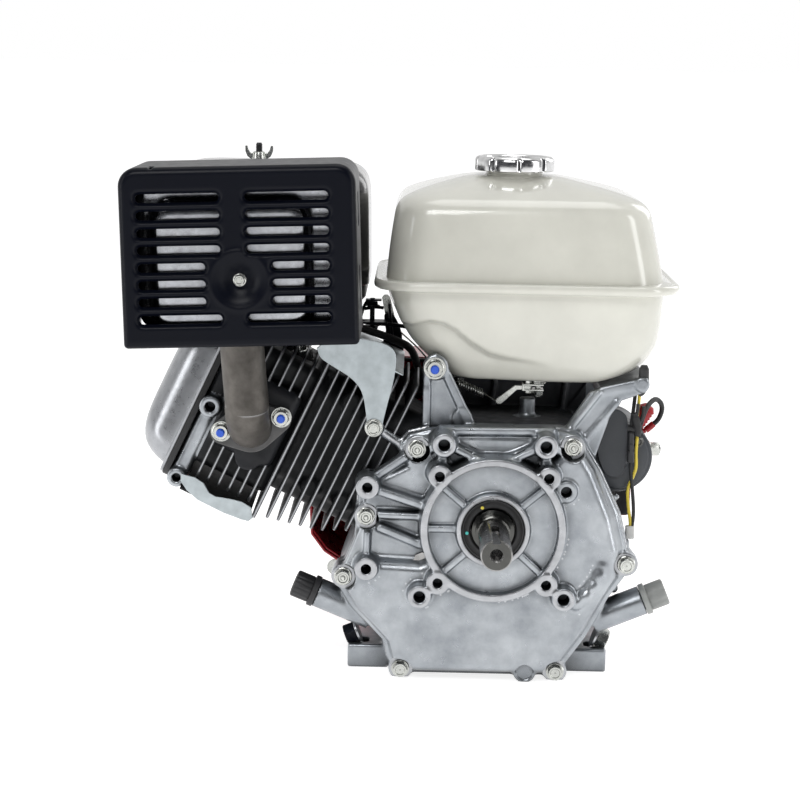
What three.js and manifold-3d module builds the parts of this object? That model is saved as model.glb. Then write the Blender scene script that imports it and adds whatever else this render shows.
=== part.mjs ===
// A single-cylinder, air-cooled, horizontal-shaft petrol engine, in millimetres, +Z up.
// The engine is drawn in its crankshaft frame: Y runs along the crankshaft from the drive end to the
// recoil starter, y = 0 is the drive flange's face, and the crankshaft axis is x = 0, z = 0.
// The exported group moves that frame so that the origin is on the base's underside, below the crankshaft
// and midway between the front and rear mounting slots.
import * as THREE from 'three';
import { mergeVertices } from 'three/addons/utils/BufferGeometryUtils.js';
import Module from 'manifold-3d';

const wasm = await Module();
wasm.setup();

// ---------------------------------------------------------------- driving dimensions
const SHAFT_HEIGHT = 133; // crankshaft axis above the base face
const BASE_CENTRE_Y = 124; // middle of the four mounting slots, behind the drive flange's face
const TILT = 25; // the cylinder's axis above the horizontal, in degrees
const GAP = 0.3; // between parts that touch

const BORE = 88;
const STROKE = 64;
const CRANK_THROW = STROKE / 2;
const ROD_LENGTH = 112;
const DECK = 180; // crankshaft axis to the cylinder's top face
const CYLINDER_Y = 104; // the cylinder's axis behind the drive flange's face

const SHAFT_R = 12.7;
const SHAFT_LENGTH = 88;
const JOURNAL_R = 17.5;
const BEARING_R = 36;
const BEARING_BORE_R = 18.4;

const FLANGE_R = 60; // the drive flange's outer radius
const PILOT_R = 54; // the recess inside the flange
const INNER_HOLES_PCD = 127;
const OUTER_HOLES_PCD = 165.1;

const COVER_FRONT = 16; // the cover's front wall
const COVER_BACK = 42; // the joint between cover and crankcase
const CASE_BACK = 165;

const CRANK_TEETH = 12;
const CAM_TEETH = 24;
const CAM_X = -58;
const CAM_Z = -32;
const CAM_DISTANCE = Math.hypot(CAM_X, CAM_Z);
const GEAR_MODULE = (2 * CAM_DISTANCE) / (CRANK_TEETH + CAM_TEETH);

const EXHAUST_Y = 88; // planes of the two valve trains
const INTAKE_Y = 120;
const PUSHROD_V = -53.5;
const ROCKER_V = -27.5;
const VALVE_V = 3.5;
const COVER_V = -18; // the valve cover's middle
const CAM_NOSE_R = 18.5;
const GOVERNOR = { x: 30, y: 100, z: 84 }; // where the governor's shaft leaves the crankcase
const CAM_SHAFT_R = 8;
const CAM_BORE_R = 9;

// ---------------------------------------------------------------- materials
const paint = (color, roughness, metalness = 0) =>
  new THREE.MeshStandardMaterial({ color, roughness, metalness });
const castAluminium = paint(0xa9adb3, 0.42, 0.85);
const steel = paint(0xb4b6ba, 0.3, 0.95);
const zinc = paint(0xc9ccc6, 0.32, 0.9);
const blackFins = paint(0x24262a, 0.6, 0.3);
const blackPaint = paint(0x12151c, 0.38, 0.2);
const blackPlastic = paint(0x17181a, 0.5);
const greyPlastic = paint(0x7d817f, 0.55);
const tankPaint = paint(0xe6e7df, 0.22);
const redPaint = paint(0xa8141c, 0.35);
const exhaustSteel = paint(0x8a8378, 0.6, 0.7);
const tinPlate = paint(0xb9c4c8, 0.35, 0.8);
const rubber = paint(0x101010, 0.8);
const paper = paint(0xd8cfae, 0.9);

// ---------------------------------------------------------------- solids and booleans
function solid(geometry) {
  const bare = geometry.clone();
  bare.deleteAttribute('normal');
  bare.deleteAttribute('uv');
  const merged = mergeVertices(bare, 1e-4);
  const vertProperties = merged.attributes.position.array;
  const corners = Array.from(merged.index.array);
  const made = (order) =>
    new wasm.Manifold(new wasm.Mesh({ numProp: 3, vertProperties, triVerts: new Uint32Array(order) }));
  const part = made(corners);
  return part.volume() > 0 ? part : made(corners.reverse());
}

function geometryOf(manifold) {
  const mesh = manifold.getMesh();
  const points = new Float32Array(mesh.numVert * 3);
  for (let i = 0; i < mesh.numVert; i++) {
    points.set(mesh.vertProperties.subarray(i * mesh.numProp, i * mesh.numProp + 3), i * 3);
  }
  const geometry = new THREE.BufferGeometry();
  geometry.setAttribute('position', new THREE.BufferAttribute(points, 3));
  geometry.setIndex(new THREE.BufferAttribute(mesh.triVerts, 1));
  return geometry;
}

const join = (first, ...others) => others.reduce((all, next) => all.add(next), first);
const cut = (from, ...tools) => tools.reduce((left, tool) => left.subtract(tool), from);
const inclined = (part) => part.rotate([0, TILT - 90, 0]); // cylinder frame to crankshaft frame

function shapeOf(outline) {
  if (outline instanceof THREE.Shape) return outline;
  return new THREE.Shape(outline.map(([x, z]) => new THREE.Vector2(x, z)));
}

// An outline in X and Z, thickened from y0 to y1.
function prism(outline, y0, y1, curveSegments = 6) {
  const geometry = new THREE.ExtrudeGeometry(shapeOf(outline), {
    depth: y1 - y0,
    bevelEnabled: false,
    curveSegments,
  });
  geometry.rotateX(Math.PI / 2);
  geometry.translate(0, y1, 0);
  return solid(geometry);
}

// An outline in X and Y, thickened from z0 to z1.
function slab(outline, z0, z1, curveSegments = 6) {
  const geometry = new THREE.ExtrudeGeometry(shapeOf(outline), {
    depth: z1 - z0,
    bevelEnabled: false,
    curveSegments,
  });
  geometry.translate(0, 0, z0);
  return solid(geometry);
}

function box(x0, x1, y0, y1, z0, z1) {
  const geometry = new THREE.BoxGeometry(x1 - x0, y1 - y0, z1 - z0);
  geometry.translate((x0 + x1) / 2, (y0 + y1) / 2, (z0 + z1) / 2);
  return solid(geometry);
}

// A round bar, or a cone if endRadius is given, from one point to another.
function bar(from, to, radius, segments = 12, endRadius = radius) {
  const a = new THREE.Vector3(...from);
  const b = new THREE.Vector3(...to);
  const along = b.clone().sub(a);
  const geometry = new THREE.CylinderGeometry(endRadius, radius, along.length(), segments);
  geometry.applyQuaternion(
    new THREE.Quaternion().setFromUnitVectors(new THREE.Vector3(0, 1, 0), along.clone().normalize()),
  );
  geometry.translate(...a.add(b).multiplyScalar(0.5).toArray());
  return solid(geometry);
}

const barY = (x, z, radius, y0, y1, segments = 12) => bar([x, y0, z], [x, y1, z], radius, segments);
const barZ = (x, y, radius, z0, z1, segments = 12) => bar([x, y, z0], [x, y, z1], radius, segments);

// A turned part about the Y axis: [radius, y] pairs that start and end on the axis.
function turned(profile, segments = 24) {
  const points = profile.map(([r, y]) => new THREE.Vector2(r, y));
  return solid(new THREE.LatheGeometry(points, segments));
}

function roundedRect(cx, cy, width, depth, radius) {
  const [x0, x1, y0, y1] = [cx - width / 2, cx + width / 2, cy - depth / 2, cy + depth / 2];
  const shape = new THREE.Shape();
  shape.moveTo(x0 + radius, y0);
  shape.lineTo(x1 - radius, y0);
  shape.absarc(x1 - radius, y0 + radius, radius, -Math.PI / 2, 0);
  shape.lineTo(x1, y1 - radius);
  shape.absarc(x1 - radius, y1 - radius, radius, 0, Math.PI / 2);
  shape.lineTo(x0 + radius, y1);
  shape.absarc(x0 + radius, y1 - radius, radius, Math.PI / 2, Math.PI);
  shape.lineTo(x0, y0 + radius);
  shape.absarc(x0 + radius, y0 + radius, radius, Math.PI, 1.5 * Math.PI);
  return shape;
}

function polygon(sides, radius, turn = 0) {
  return Array.from({ length: sides }, (_, i) => {
    const angle = (i / sides) * 2 * Math.PI + turn;
    return [radius * Math.cos(angle), radius * Math.sin(angle)];
  });
}

// A skin through rounded rectangles stacked along Z: each is [z, x0, x1, y0, y1, corner radius].
function loft(sections, cornerSteps = 3) {
  const rings = sections.map(([z, x0, x1, y0, y1, radius]) => {
    const corners = [
      [x1 - radius, y0 + radius, -90],
      [x1 - radius, y1 - radius, 0],
      [x0 + radius, y1 - radius, 90],
      [x0 + radius, y0 + radius, 180],
    ];
    return corners.flatMap(([cx, cy, start]) =>
      Array.from({ length: cornerSteps + 1 }, (_, i) => {
        const angle = THREE.MathUtils.degToRad(start + (90 * i) / cornerSteps);
        return [cx + radius * Math.cos(angle), cy + radius * Math.sin(angle), z];
      }),
    );
  });
  const count = rings[0].length;
  const faces = [];
  for (let k = 0; k < rings.length - 1; k++) {
    for (let i = 0; i < count; i++) {
      const j = (i + 1) % count;
      const [a, b] = [k * count + i, k * count + j];
      faces.push(a, b, b + count, a, b + count, a + count);
    }
  }
  const top = (rings.length - 1) * count;
  for (let i = 1; i < count - 1; i++) {
    faces.push(0, i + 1, i);
    faces.push(top, top + i, top + i + 1);
  }
  const geometry = new THREE.BufferGeometry();
  geometry.setAttribute('position', new THREE.Float32BufferAttribute(rings.flat(2), 3));
  geometry.setIndex(faces);
  return solid(geometry);
}

// A round tube or wire along a smooth curve through the points.
function wire(points, radius, steps, sides = 8) {
  const curve = new THREE.CatmullRomCurve3(points.map((p) => new THREE.Vector3(...p)));
  const section = new THREE.Shape(polygon(sides, radius).map(([x, y]) => new THREE.Vector2(x, y)));
  return solid(new THREE.ExtrudeGeometry(section, { steps, extrudePath: curve, bevelEnabled: false }));
}

// A gear's outline with straight-sided teeth that leave some backlash.
function gearOutline(teeth, toothAngle) {
  const pitchR = (teeth * GEAR_MODULE) / 2;
  const rootR = pitchR - 1.2 * GEAR_MODULE;
  const tipR = pitchR + 0.65 * GEAR_MODULE;
  const pitch = (2 * Math.PI) / teeth;
  const corners = [
    [rootR, -0.2],
    [tipR, -0.06],
    [tipR, 0.06],
    [rootR, 0.2],
  ];
  return Array.from({ length: teeth }, (_, i) =>
    corners.map(([r, share]) => {
      const angle = toothAngle + (i + share) * pitch;
      return [r * Math.cos(angle), r * Math.sin(angle)];
    }),
  ).flat();
}

const moved = (outline, dx, dz) => outline.map(([x, z]) => [x + dx, z + dz]);

// ---------------------------------------------------------------- the groups
const engine = new THREE.Group();
const cylinderGroup = new THREE.Group(); // local Z runs along the cylinder, local X up across it
cylinderGroup.rotation.y = THREE.MathUtils.degToRad(TILT - 90);
const muffler = new THREE.Group(); // local X and Z lie along the muffler's guard
const MUFFLER_X = -208.5;
const MUFFLER_Z = 226.5;
muffler.position.set(MUFFLER_X, 0, MUFFLER_Z);
muffler.rotation.y = THREE.MathUtils.degToRad(-2.3);
engine.add(cylinderGroup, muffler);

function add(group, name, part, material) {
  const mesh = new THREE.Mesh(geometryOf(part), material);
  mesh.name = name;
  group.add(mesh);
}

// ---------------------------------------------------------------- crankcase
const CASE_OUTLINE = [
  [-80, 66], [-72, 76], [-52, 81], [56, 81], [72, 77], [79, 64], [91, 45], [108, 9],
  [115, -20], [113, -45], [101, -62], [81, -96], [66, -116], [52, -128], [-76, -128],
  [-86, -116], [-90, -102], [-118, -75], [-130, -56], [-126, -44], [-115, -15],
  [-114, 28], [-107, 37], [-78, 52],
];
const CAVITY_OUTLINE = [
  [-66, 60], [-52, 71], [56, 71], [68, 62], [82, 41], [98, 6], [105, -22], [103, -42],
  [92, -58], [72, -91], [58, -110], [48, -118], [-72, -118], [-80, -100], [-108, -72],
  [-116, -55], [-108, -14], [-104, 24], [-98, 31], [-66, 46],
];
const COVER_BOLTS = [
  [-64, 63], [65.5, 67], [-105.5, 5], [-124, -47], [113, -32], [-74.5, -121.5], [55.5, -121.5],
];
const STARTER_X = 106;
const STARTER_Z = 52;
const STARTER_R = 30;
const FOOT = { left0: -120, left1: -85, right0: 66, right1: 101, y0: 54, y1: 194, bottom: -133 };
const SLOT_X = 97.5; // mounting slots, either side of the feet's middle
const SLOT_Y = 52.5;
const FEET_MIDDLE = (FOOT.left0 + FOOT.right1) / 2;
const LEFT_NECK = { from: [-100, 60, -88], to: [-147, 60, -69], r: 12.5 };
const RIGHT_NECK = { from: [88, 60, -88], to: [131, 60, -70], r: 12.5 };

function finPlates(first, pitch, count, thickness, v0, v1, y0, y1) {
  return Array.from({ length: count }, (_, i) => {
    const u = first + i * pitch;
    return box(v0, v1, y0, y1, u, u + thickness);
  });
}

function barrel() {
  const liner = box(-52, 52, 52, 156, 66, DECK);
  const pushrodSide = box(-64, 0, 72, 136, 72, DECK);
  const lowFins = finPlates(105, 9.3, 2, 2.4, -82, 76, COVER_BACK + 1, 160);
  const fins = finPlates(123.6, 9.3, 6, 2.4, -82, 76, 36, 160);
  return join(liner, pushrodSide, ...lowFins, ...fins);
}

const legRib = (grow) => box(-60 - grow, -52 + grow, 46 - grow, 80 + grow, 50, 112 + grow);

function tankLegs() {
  const left = [[-60, 50], [-60, 128], [-57, 137], [-50, 141], [-43, 137], [-39, 128], [-14, 78],
    [-14, 50]];
  const right = [[52, 60], [57, 76], [80, 111], [92, 115], [127, 124], [127, 112], [115, 107],
    [101, 102], [84, 50]];
  const shelf = [[86, 106], [88, 114], [127, 124], [127, 116]];
  const rear = CASE_BACK - 9;
  return join(
    prism(left, 46, 54),
    legRib(0),
    prism(right, 46, 54),
    prism(shelf, 46, rear),
    prism([[52, 60], [92, 115], [112, 120], [84, 50]], rear - 8, rear),
    barZ(GOVERNOR.x, GOVERNOR.y, 9, 70, GOVERNOR.z, 12),
  );
}

function mountingSlots() {
  return [-SLOT_X, SLOT_X].flatMap((dx) =>
    [-SLOT_Y, SLOT_Y].map((dy) => {
      const slot = roundedRect(FEET_MIDDLE + dx, BASE_CENTRE_Y + dy, 11, 17, 5.4);
      return slab(slot, FOOT.bottom - 1, -100, 2);
    }),
  );
}

const bore = inclined(barZ(0, CYLINDER_Y, BORE / 2 + 1, 40, DECK + 1, 24));
const pushrodHoles = [EXHAUST_Y, INTAKE_Y].map((y) => inclined(barZ(PUSHROD_V, y, 5, 50, DECK + 1, 8)));

// The cylinder is cast in one with the crankcase; it is cut off along the crankcase's own outline.
function cylinder() {
  const grown = CASE_OUTLINE.map(([x, z]) => [x * 1.004, z * 1.004]);
  const block = prism(grown, COVER_BACK, CASE_BACK + GAP);
  const bosses = COVER_BOLTS.map(([x, z]) => barY(x, z, 10.5, COVER_BACK, 64.5, 8));
  return cut(inclined(barrel()), block, legRib(3 * GAP), ...bosses, bore, ...pushrodHoles);
}

function crankcase() {
  const body = prism(CASE_OUTLINE, COVER_BACK + GAP, CASE_BACK);
  const bosses = COVER_BOLTS.map(([x, z]) => barY(x, z, 10, COVER_BACK + GAP, 64, 8));
  const feet = [
    box(FOOT.left0, FOOT.left1, FOOT.y0, FOOT.y1, FOOT.bottom, -112),
    box(FOOT.right0, FOOT.right1, FOOT.y0, FOOT.y1, FOOT.bottom, -112),
    box(FOOT.left1 - 1, FOOT.right0 + 1, FOOT.y0 + 6, CASE_BACK, FOOT.bottom, -120),
  ];
  const necks = [LEFT_NECK, RIGHT_NECK].map((n) => bar(n.from, n.to, n.r, 12));
  const rearBoss = barY(0, 0, 46, 150, 170, 20);
  const solids = join(body, ...bosses, ...feet, ...necks, rearBoss, tankLegs());

  const starterPocket = barY(STARTER_X, STARTER_Z, STARTER_R + 1, 62, 200, 16);
  const cavity = cut(
    prism(CAVITY_OUTLINE, COVER_BACK - 1, 152),
    barY(STARTER_X, STARTER_Z, STARTER_R + 6, 56, 200, 16),
    inclined(box(-60, 60, 56, 180, 66, 160)),
  );
  const lifterPockets = [EXHAUST_Y, INTAKE_Y].map((y) => inclined(barZ(PUSHROD_V, y, 13, 54, 78, 10)));
  const boltHoles = COVER_BOLTS.map(([x, z]) => barY(x, z, 4.3, COVER_BACK - 1, 60, 6));
  const neckBores = [LEFT_NECK, RIGHT_NECK].map((n) => {
    const to = n.to.map((c, i) => c + 0.05 * (c - n.from[i]));
    const from = n.from.map((c, i) => c - 0.35 * (n.to[i] - c));
    return bar(from, to, 9.7, 12);
  });
  const bearingSeat = barY(0, 0, BEARING_R + GAP, 149, 171, 20);
  const camPocket = barY(CAM_X, CAM_Z, CAM_BORE_R, 150, 158, 10);
  return cut(
    solids, starterPocket, cavity, bore, ...pushrodHoles, ...lifterPockets, ...boltHoles, ...neckBores,
    bearingSeat, camPocket, ...mountingSlots(),
  );
}

// ---------------------------------------------------------------- crankcase cover with the drive flange
const FLANGE_HOLES = [45, 135, 225, 315];
const onCircle = (diameter, angle) => {
  const a = THREE.MathUtils.degToRad(angle);
  return [(diameter / 2) * Math.cos(a), (diameter / 2) * Math.sin(a)];
};
const MOUNT_BOSSES = [59.5, 120.5, 223.6, 316.4].map((angle) => onCircle(OUTER_HOLES_PCD, angle));
const SIDE_BOSSES = [[-104.5, 33], [-104.5, -36]];
const SIDE_BOSS_FRONT = 8;

function crankcaseCover() {
  const middle = ([x, z], share) => [x * share + 0.4, z * share];
  const skirt = prism(CASE_OUTLINE, 30, COVER_BACK);
  const dish = prism(CASE_OUTLINE.map((p) => middle(p, 0.92)), COVER_FRONT, 31);
  const boltBosses = COVER_BOLTS.map(([x, z]) => barY(x, z, 10, 28, COVER_BACK, 8));
  const foot = barY(30, -121.5, 9, 20, COVER_BACK, 10);
  const bosses = MOUNT_BOSSES.map(([x, z]) => barY(x, z, 9.6, 0, 24, 10));
  const sideBosses = SIDE_BOSSES.map(([x, z]) => barY(x, z, 9.6, SIDE_BOSS_FRONT, 36, 10));
  const ring = barY(0, 0, FLANGE_R, 0, COVER_FRONT + 2, 24);
  const ears = FLANGE_HOLES.map((angle) => {
    const [x, z] = onCircle(INNER_HOLES_PCD, angle);
    return barY(x, z, 9.5, 0, COVER_FRONT + 2, 6);
  });
  const bearingBoss = barY(0, 0, BEARING_R + 6, COVER_FRONT, 37, 20);
  const cavity = cut(
    prism(CAVITY_OUTLINE.map((p) => middle(p, 0.95)), COVER_FRONT + 6, COVER_BACK + 1),
    bearingBoss,
  );
  const recess = cut(barY(0, 0, PILOT_R, -1, COVER_FRONT - 6, 24), barY(0, 0, 30.4, -2, 20, 20));
  const ribs = [40, 140, 180, 222, 318].map((angle) =>
    box(29, PILOT_R + 1, -3, 3, -3, 3)
      .rotate([0, -angle, 0])
      .translate([0, COVER_FRONT - 9, 0]),
  );
  const holes = [
    ...FLANGE_HOLES.map((angle) => {
      const [x, z] = onCircle(INNER_HOLES_PCD, angle);
      return barY(x, z, 4, -1, 14, 6);
    }),
    ...MOUNT_BOSSES.map(([x, z]) => barY(x, z, 4.8, -1, 15, 6)),
    ...SIDE_BOSSES.map(([x, z]) => barY(x, z, 4.2, SIDE_BOSS_FRONT - 1, 26, 6)),
    ...COVER_BOLTS.map(([x, z]) => barY(x, z, 9.3, 8, 28, 8)),
    ...COVER_BOLTS.map(([x, z]) => barY(x, z, 4.3, 20, COVER_BACK + 1, 6)),
    barY(0, 0, 26 + GAP, -1, 12, 20),
    barY(0, 0, 20, 11, 20, 16),
    barY(0, 0, BEARING_R + GAP, 19, 38, 20),
  ];
  const camPocket = barY(CAM_X, CAM_Z, 13, COVER_FRONT + 1, 34, 10);
  const camBush = barY(CAM_X, CAM_Z, CAM_BORE_R, COVER_FRONT + 5, 35, 10);
  const shell = cut(join(skirt, dish, ...boltBosses, foot, ...bosses, ...sideBosses, ring,
    ...ears), cavity, recess);
  return cut(join(shell, bearingBoss, camPocket, ...ribs), ...holes, camBush);
}

add(engine, 'crankcase', crankcase(), castAluminium);
add(engine, 'cylinder', cylinder(), blackFins);
add(engine, 'crankcase_cover', crankcaseCover(), castAluminium);

COVER_BOLTS.forEach(([x, z], i) => {
  const head = prism(moved(polygon(6, 7), x, z), 20.2, 26);
  const flange = barY(x, z, 8.5, 26, 28 - GAP, 10);
  const shank = barY(x, z, 3.9, 27, 58, 6);
  add(engine, `cover_bolt_${i + 1}`, join(head, flange, shank), zinc);
});

add(engine, 'oil_seal', cut(barY(0, 0, 26, 2, 10, 20), barY(0, 0, BEARING_BORE_R, 1, 11, 16)), rubber);
const bearingRing = (y0, y1) => cut(barY(0, 0, BEARING_R, y0, y1, 20),
  barY(0, 0, BEARING_BORE_R, y0 - 1, y1 + 1, 16));
add(engine, 'main_bearing_front', bearingRing(20.3, 36.5), steel);
add(engine, 'main_bearing_rear', bearingRing(152, 169), steel);

// ---------------------------------------------------------------- oil filler cap and dipstick
function neckPoint(neck, past) {
  const along = new THREE.Vector3(...neck.to).sub(new THREE.Vector3(...neck.from)).normalize();
  return new THREE.Vector3(...neck.to).addScaledVector(along, past).toArray();
}

function oilCap(neck, stickLength) {
  const collar = bar(neckPoint(neck, GAP), neckPoint(neck, 5), 13.5, 12);
  const grip = bar(neckPoint(neck, 4), neckPoint(neck, 21), 11.5, 6);
  const plug = bar(neckPoint(neck, -14), neckPoint(neck, 1), 8.9, 8);
  const parts = [collar, grip, plug];
  if (stickLength) parts.push(bar(neckPoint(neck, -stickLength), neckPoint(neck, -13), 2.6, 6));
  return join(...parts);
}
add(engine, 'oil_filler_cap', oilCap(LEFT_NECK, 0), blackPlastic);
add(engine, 'dipstick', oilCap(RIGHT_NECK, 52), greyPlastic);

// ---------------------------------------------------------------- crankshaft, flywheel, camshaft
const WEB_OUTLINE = [
  ...Array.from({ length: 8 }, (_, i) => {
    const a = THREE.MathUtils.degToRad(205 + (130 * i) / 7);
    return [56 * Math.cos(a), 56 * Math.sin(a)];
  }),
  [24, 30], [17, 47], [6, 53], [-6, 53], [-17, 47], [-24, 30],
];
const CAM_BEARING = Math.atan2(CAM_Z, CAM_X);

function crankshaftFront() {
  const shaft = turned([
    [0, -SHAFT_LENGTH], [SHAFT_R - 1, -SHAFT_LENGTH], [SHAFT_R, -SHAFT_LENGTH + 1], [SHAFT_R, -7],
    [14.8, -6], [14.8, 1], [JOURNAL_R, 2], [JOURNAL_R, 55], [20, 57], [20, 63], [0, 63],
  ]);
  const gear = prism(gearOutline(CRANK_TEETH, CAM_BEARING), 44, 54);
  const web = inclined(prism(WEB_OUTLINE, 62, 84));
  const keyway = box(-3.2, 3.2, -SHAFT_LENGTH + 2, -34, 9.6, 14);
  const centreHole = barY(0, 0, 4.2, -SHAFT_LENGTH - 1, -64, 8);
  return cut(join(shaft, gear, web), keyway, centreHole);
}

function crankshaftRear() {
  const web = inclined(prism(WEB_OUTLINE, 124, 146));
  const shaft = turned([
    [0, 145], [20, 145], [20, 151], [JOURNAL_R, 151.5], [JOURNAL_R, 174], [16, 176],
    [13, 214], [8, 214], [8, 236], [0, 236],
  ]);
  return join(web, shaft);
}

function flywheel() {
  const disc = turned([
    [0, 180], [26, 180], [26, 190], [82, 190], [84, 178], [98, 178], [98, 204], [26, 204],
    [26, 212], [0, 212],
  ], 24);
  const blades = Array.from({ length: 12 }, (_, i) =>
    box(48, 94, -1.6, 1.6, 0, 22)
      .rotate([0, 0, 14])
      .translate([4, -8, 0])
      .rotate([-90, 0, 0])
      .translate([0, 203, 0])
      .rotate([0, i * 30, 0]),
  );
  const hub = turned([[0, 174], [17.2, 174], [17.2, 176], [14.2, 214], [0, 214]], 16);
  return cut(join(disc, ...blades), hub);
}

function camshaft() {
  const gear = moved(gearOutline(CAM_TEETH, CAM_BEARING + Math.PI + Math.PI / CAM_TEETH), CAM_X, CAM_Z);
  const shaft = barY(CAM_X, CAM_Z, CAM_SHAFT_R, COVER_FRONT + 7, 156, 8);
  const lobe = (y, angle) => {
    const nose = 5.5;
    const [nx, nz] = [Math.cos(angle) * nose * 1.55, Math.sin(angle) * nose * 1.55];
    const base = barY(CAM_X, CAM_Z, CAM_NOSE_R - nose, y - 2.5, y + 2.5, 14);
    return join(base, barY(CAM_X + nx, CAM_Z + nz, CAM_NOSE_R - nose * 1.55, y - 2.5, y + 2.5, 12));
  };
  return join(prism(gear, 44, 54), shaft, lobe(EXHAUST_Y, -0.6), lobe(INTAKE_Y, -2.2));
}

add(engine, 'crankshaft_front', crankshaftFront(), steel);
add(engine, 'crankshaft_rear', crankshaftRear(), steel);
add(engine, 'flywheel', flywheel(), castAluminium);
add(engine, 'camshaft', camshaft(), steel);

// ---------------------------------------------------------------- piston, rod and crankpin, at top dead centre
const PIN_U = CRANK_THROW + ROD_LENGTH;
const PISTON_TOP = DECK - 0.5;
const PISTON_HEIGHT = 56;

function piston() {
  const r = BORE / 2 - 0.1;
  const body = barZ(0, CYLINDER_Y, r, PISTON_TOP - PISTON_HEIGHT, PISTON_TOP, 24);
  const grooves = [8, 14].map((depth) =>
    cut(
      barZ(0, CYLINDER_Y, r + 1, PISTON_TOP - depth - 2, PISTON_TOP - depth, 24),
      barZ(0, CYLINDER_Y, r - 3, PISTON_TOP - depth - 3, PISTON_TOP - depth + 1, 24),
    ),
  );
  const hollow = barZ(0, CYLINDER_Y, r - 6, PISTON_TOP - PISTON_HEIGHT - 1, PISTON_TOP - 14, 16);
  const bosses = [[CYLINDER_Y - 40, CYLINDER_Y - 14], [CYLINDER_Y + 14, CYLINDER_Y + 40]].map(([y0, y1]) =>
    bar([0, y0, PIN_U], [0, y1, PIN_U], 14, 12),
  );
  const pin = bar([0, CYLINDER_Y - 38, PIN_U], [0, CYLINDER_Y + 38, PIN_U], 9.7, 10);
  const inside = join(cut(body, ...grooves, hollow), ...bosses, pin);
  return inside.intersect(body);
}

function connectingRod() {
  const width = 11;
  const [y0, y1] = [CYLINDER_Y - width, CYLINDER_Y + width];
  const big = bar([0, y0, CRANK_THROW], [0, y1, CRANK_THROW], 26, 16);
  const small = bar([0, y0, PIN_U], [0, y1, PIN_U], 14, 12);
  const shank = prism([[-12, CRANK_THROW + 18], [12, CRANK_THROW + 18], [8, PIN_U - 8],
    [-8, PIN_U - 8]], y0 + 2, y1 - 2);
  const ears = box(-33, 33, y0 + 1, y1 - 1, CRANK_THROW - 8, CRANK_THROW + 8);
  return cut(
    join(big, small, shank, ears),
    bar([0, y0 - 1, CRANK_THROW], [0, y1 + 1, CRANK_THROW], 18.3, 16),
    bar([0, y0 - 1, PIN_U], [0, y1 + 1, PIN_U], 10, 10),
  );
}

add(cylinderGroup, 'piston', piston(), castAluminium);
add(cylinderGroup, 'connecting_rod', connectingRod(), castAluminium);
add(cylinderGroup, 'crankpin', bar([0, 84.4, CRANK_THROW], [0, 123.6, CRANK_THROW], 18, 16), steel);

// ---------------------------------------------------------------- cylinder head
const HEAD_BOTTOM = DECK + GAP;
const CHAMBER_ROOF = HEAD_BOTTOM + 9;
const HEAD_TOP = 262;
const PORT = { u: 217, v: -14 };
const PLUG = { v: 27, y: 90, u: CHAMBER_ROOF, lean: 55 };
const plugPoint = (t) => {
  const a = THREE.MathUtils.degToRad(PLUG.lean);
  return [PLUG.v + t * Math.sin(a), PLUG.y, PLUG.u + t * Math.cos(a)];
};

function cylinderHead() {
  const core = box(-66, 50, 48, 160, HEAD_BOTTOM, 250);
  const deckFin = box(-87, 74, 34, 170, HEAD_BOTTOM, HEAD_BOTTOM + 3);
  const fins = finPlates(HEAD_BOTTOM + 10, 9.6, 6, 2.4, -77, 58, 36, 170);
  const exhaustFace = box(-42, 26, 32, 60, PORT.u - 30, PORT.u + 26);
  const intakeFace = box(-38, 20, 150, 174, PORT.u - 26, PORT.u + 26);
  const rockerBox = slab(roundedRect(COVER_V, CYLINDER_Y, 144, 112, 20), 248, HEAD_TOP, 3);
  const valleys = slab(roundedRect(COVER_V, CYLINDER_Y, 120, 90, 12), 252, HEAD_TOP + 1, 2);
  const chamber = barZ(0, CYLINDER_Y, 42, HEAD_BOTTOM - 1, CHAMBER_ROOF, 20);
  const trains = [
    [EXHAUST_Y, 15.6],
    [INTAKE_Y, 17.1],
  ].flatMap(([y, r]) => [
    barZ(VALVE_V, y, r, CHAMBER_ROOF - 1, CHAMBER_ROOF + 4, 14),
    barZ(VALVE_V, y, r - 3, CHAMBER_ROOF, PORT.u + 4, 12),
    barZ(VALVE_V, y, 3.6, PORT.u, 256, 8),
    barZ(PUSHROD_V, y, 5, HEAD_BOTTOM - 1, 256, 8),
  ]);
  const ports = [
    bar([PORT.v, 30, PORT.u], [VALVE_V, EXHAUST_Y, PORT.u - 6], 13, 12),
    bar([PORT.v, 176, PORT.u], [VALVE_V, INTAKE_Y, PORT.u - 6], 13, 12),
  ];
  const plugHole = [bar(plugPoint(-6), plugPoint(60), 7.3, 8), bar(plugPoint(20), plugPoint(90), 14, 12)];
  const studs = [EXHAUST_Y, INTAKE_Y].map((y) => barZ(ROCKER_V, y, 4, 250, 284, 8));
  const head = cut(
    join(core, deckFin, ...fins, exhaustFace, intakeFace, rockerBox),
    valleys, chamber, ...trains, ...ports, ...plugHole,
  );
  return join(head, ...studs);
}

function valveCover() {
  const dome = (grow, bottom, top) =>
    loft([
      [bottom, COVER_V - 66 - grow, COVER_V + 66 + grow, CYLINDER_Y - 50 - grow,
        CYLINDER_Y + 50 + grow, 22 + grow],
      [bottom + 20, COVER_V - 60 - grow, COVER_V + 60 + grow, CYLINDER_Y - 45 - grow,
        CYLINDER_Y + 45 + grow, 22 + grow],
      [top - 5, COVER_V - 48 - grow, COVER_V + 48 + grow, CYLINDER_Y - 36 - grow,
        CYLINDER_Y + 36 + grow, 20 + grow],
      [top, COVER_V - 32 - grow, COVER_V + 32 + grow, CYLINDER_Y - 22 - grow,
        CYLINDER_Y + 22 + grow, 14 + grow],
    ], 3);
  const rim = slab(roundedRect(COVER_V, CYLINDER_Y, 144, 112, 24), 268, 270, 3);
  return cut(join(dome(0, 268, 302), rim), dome(-3, 267, 299));
}

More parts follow.
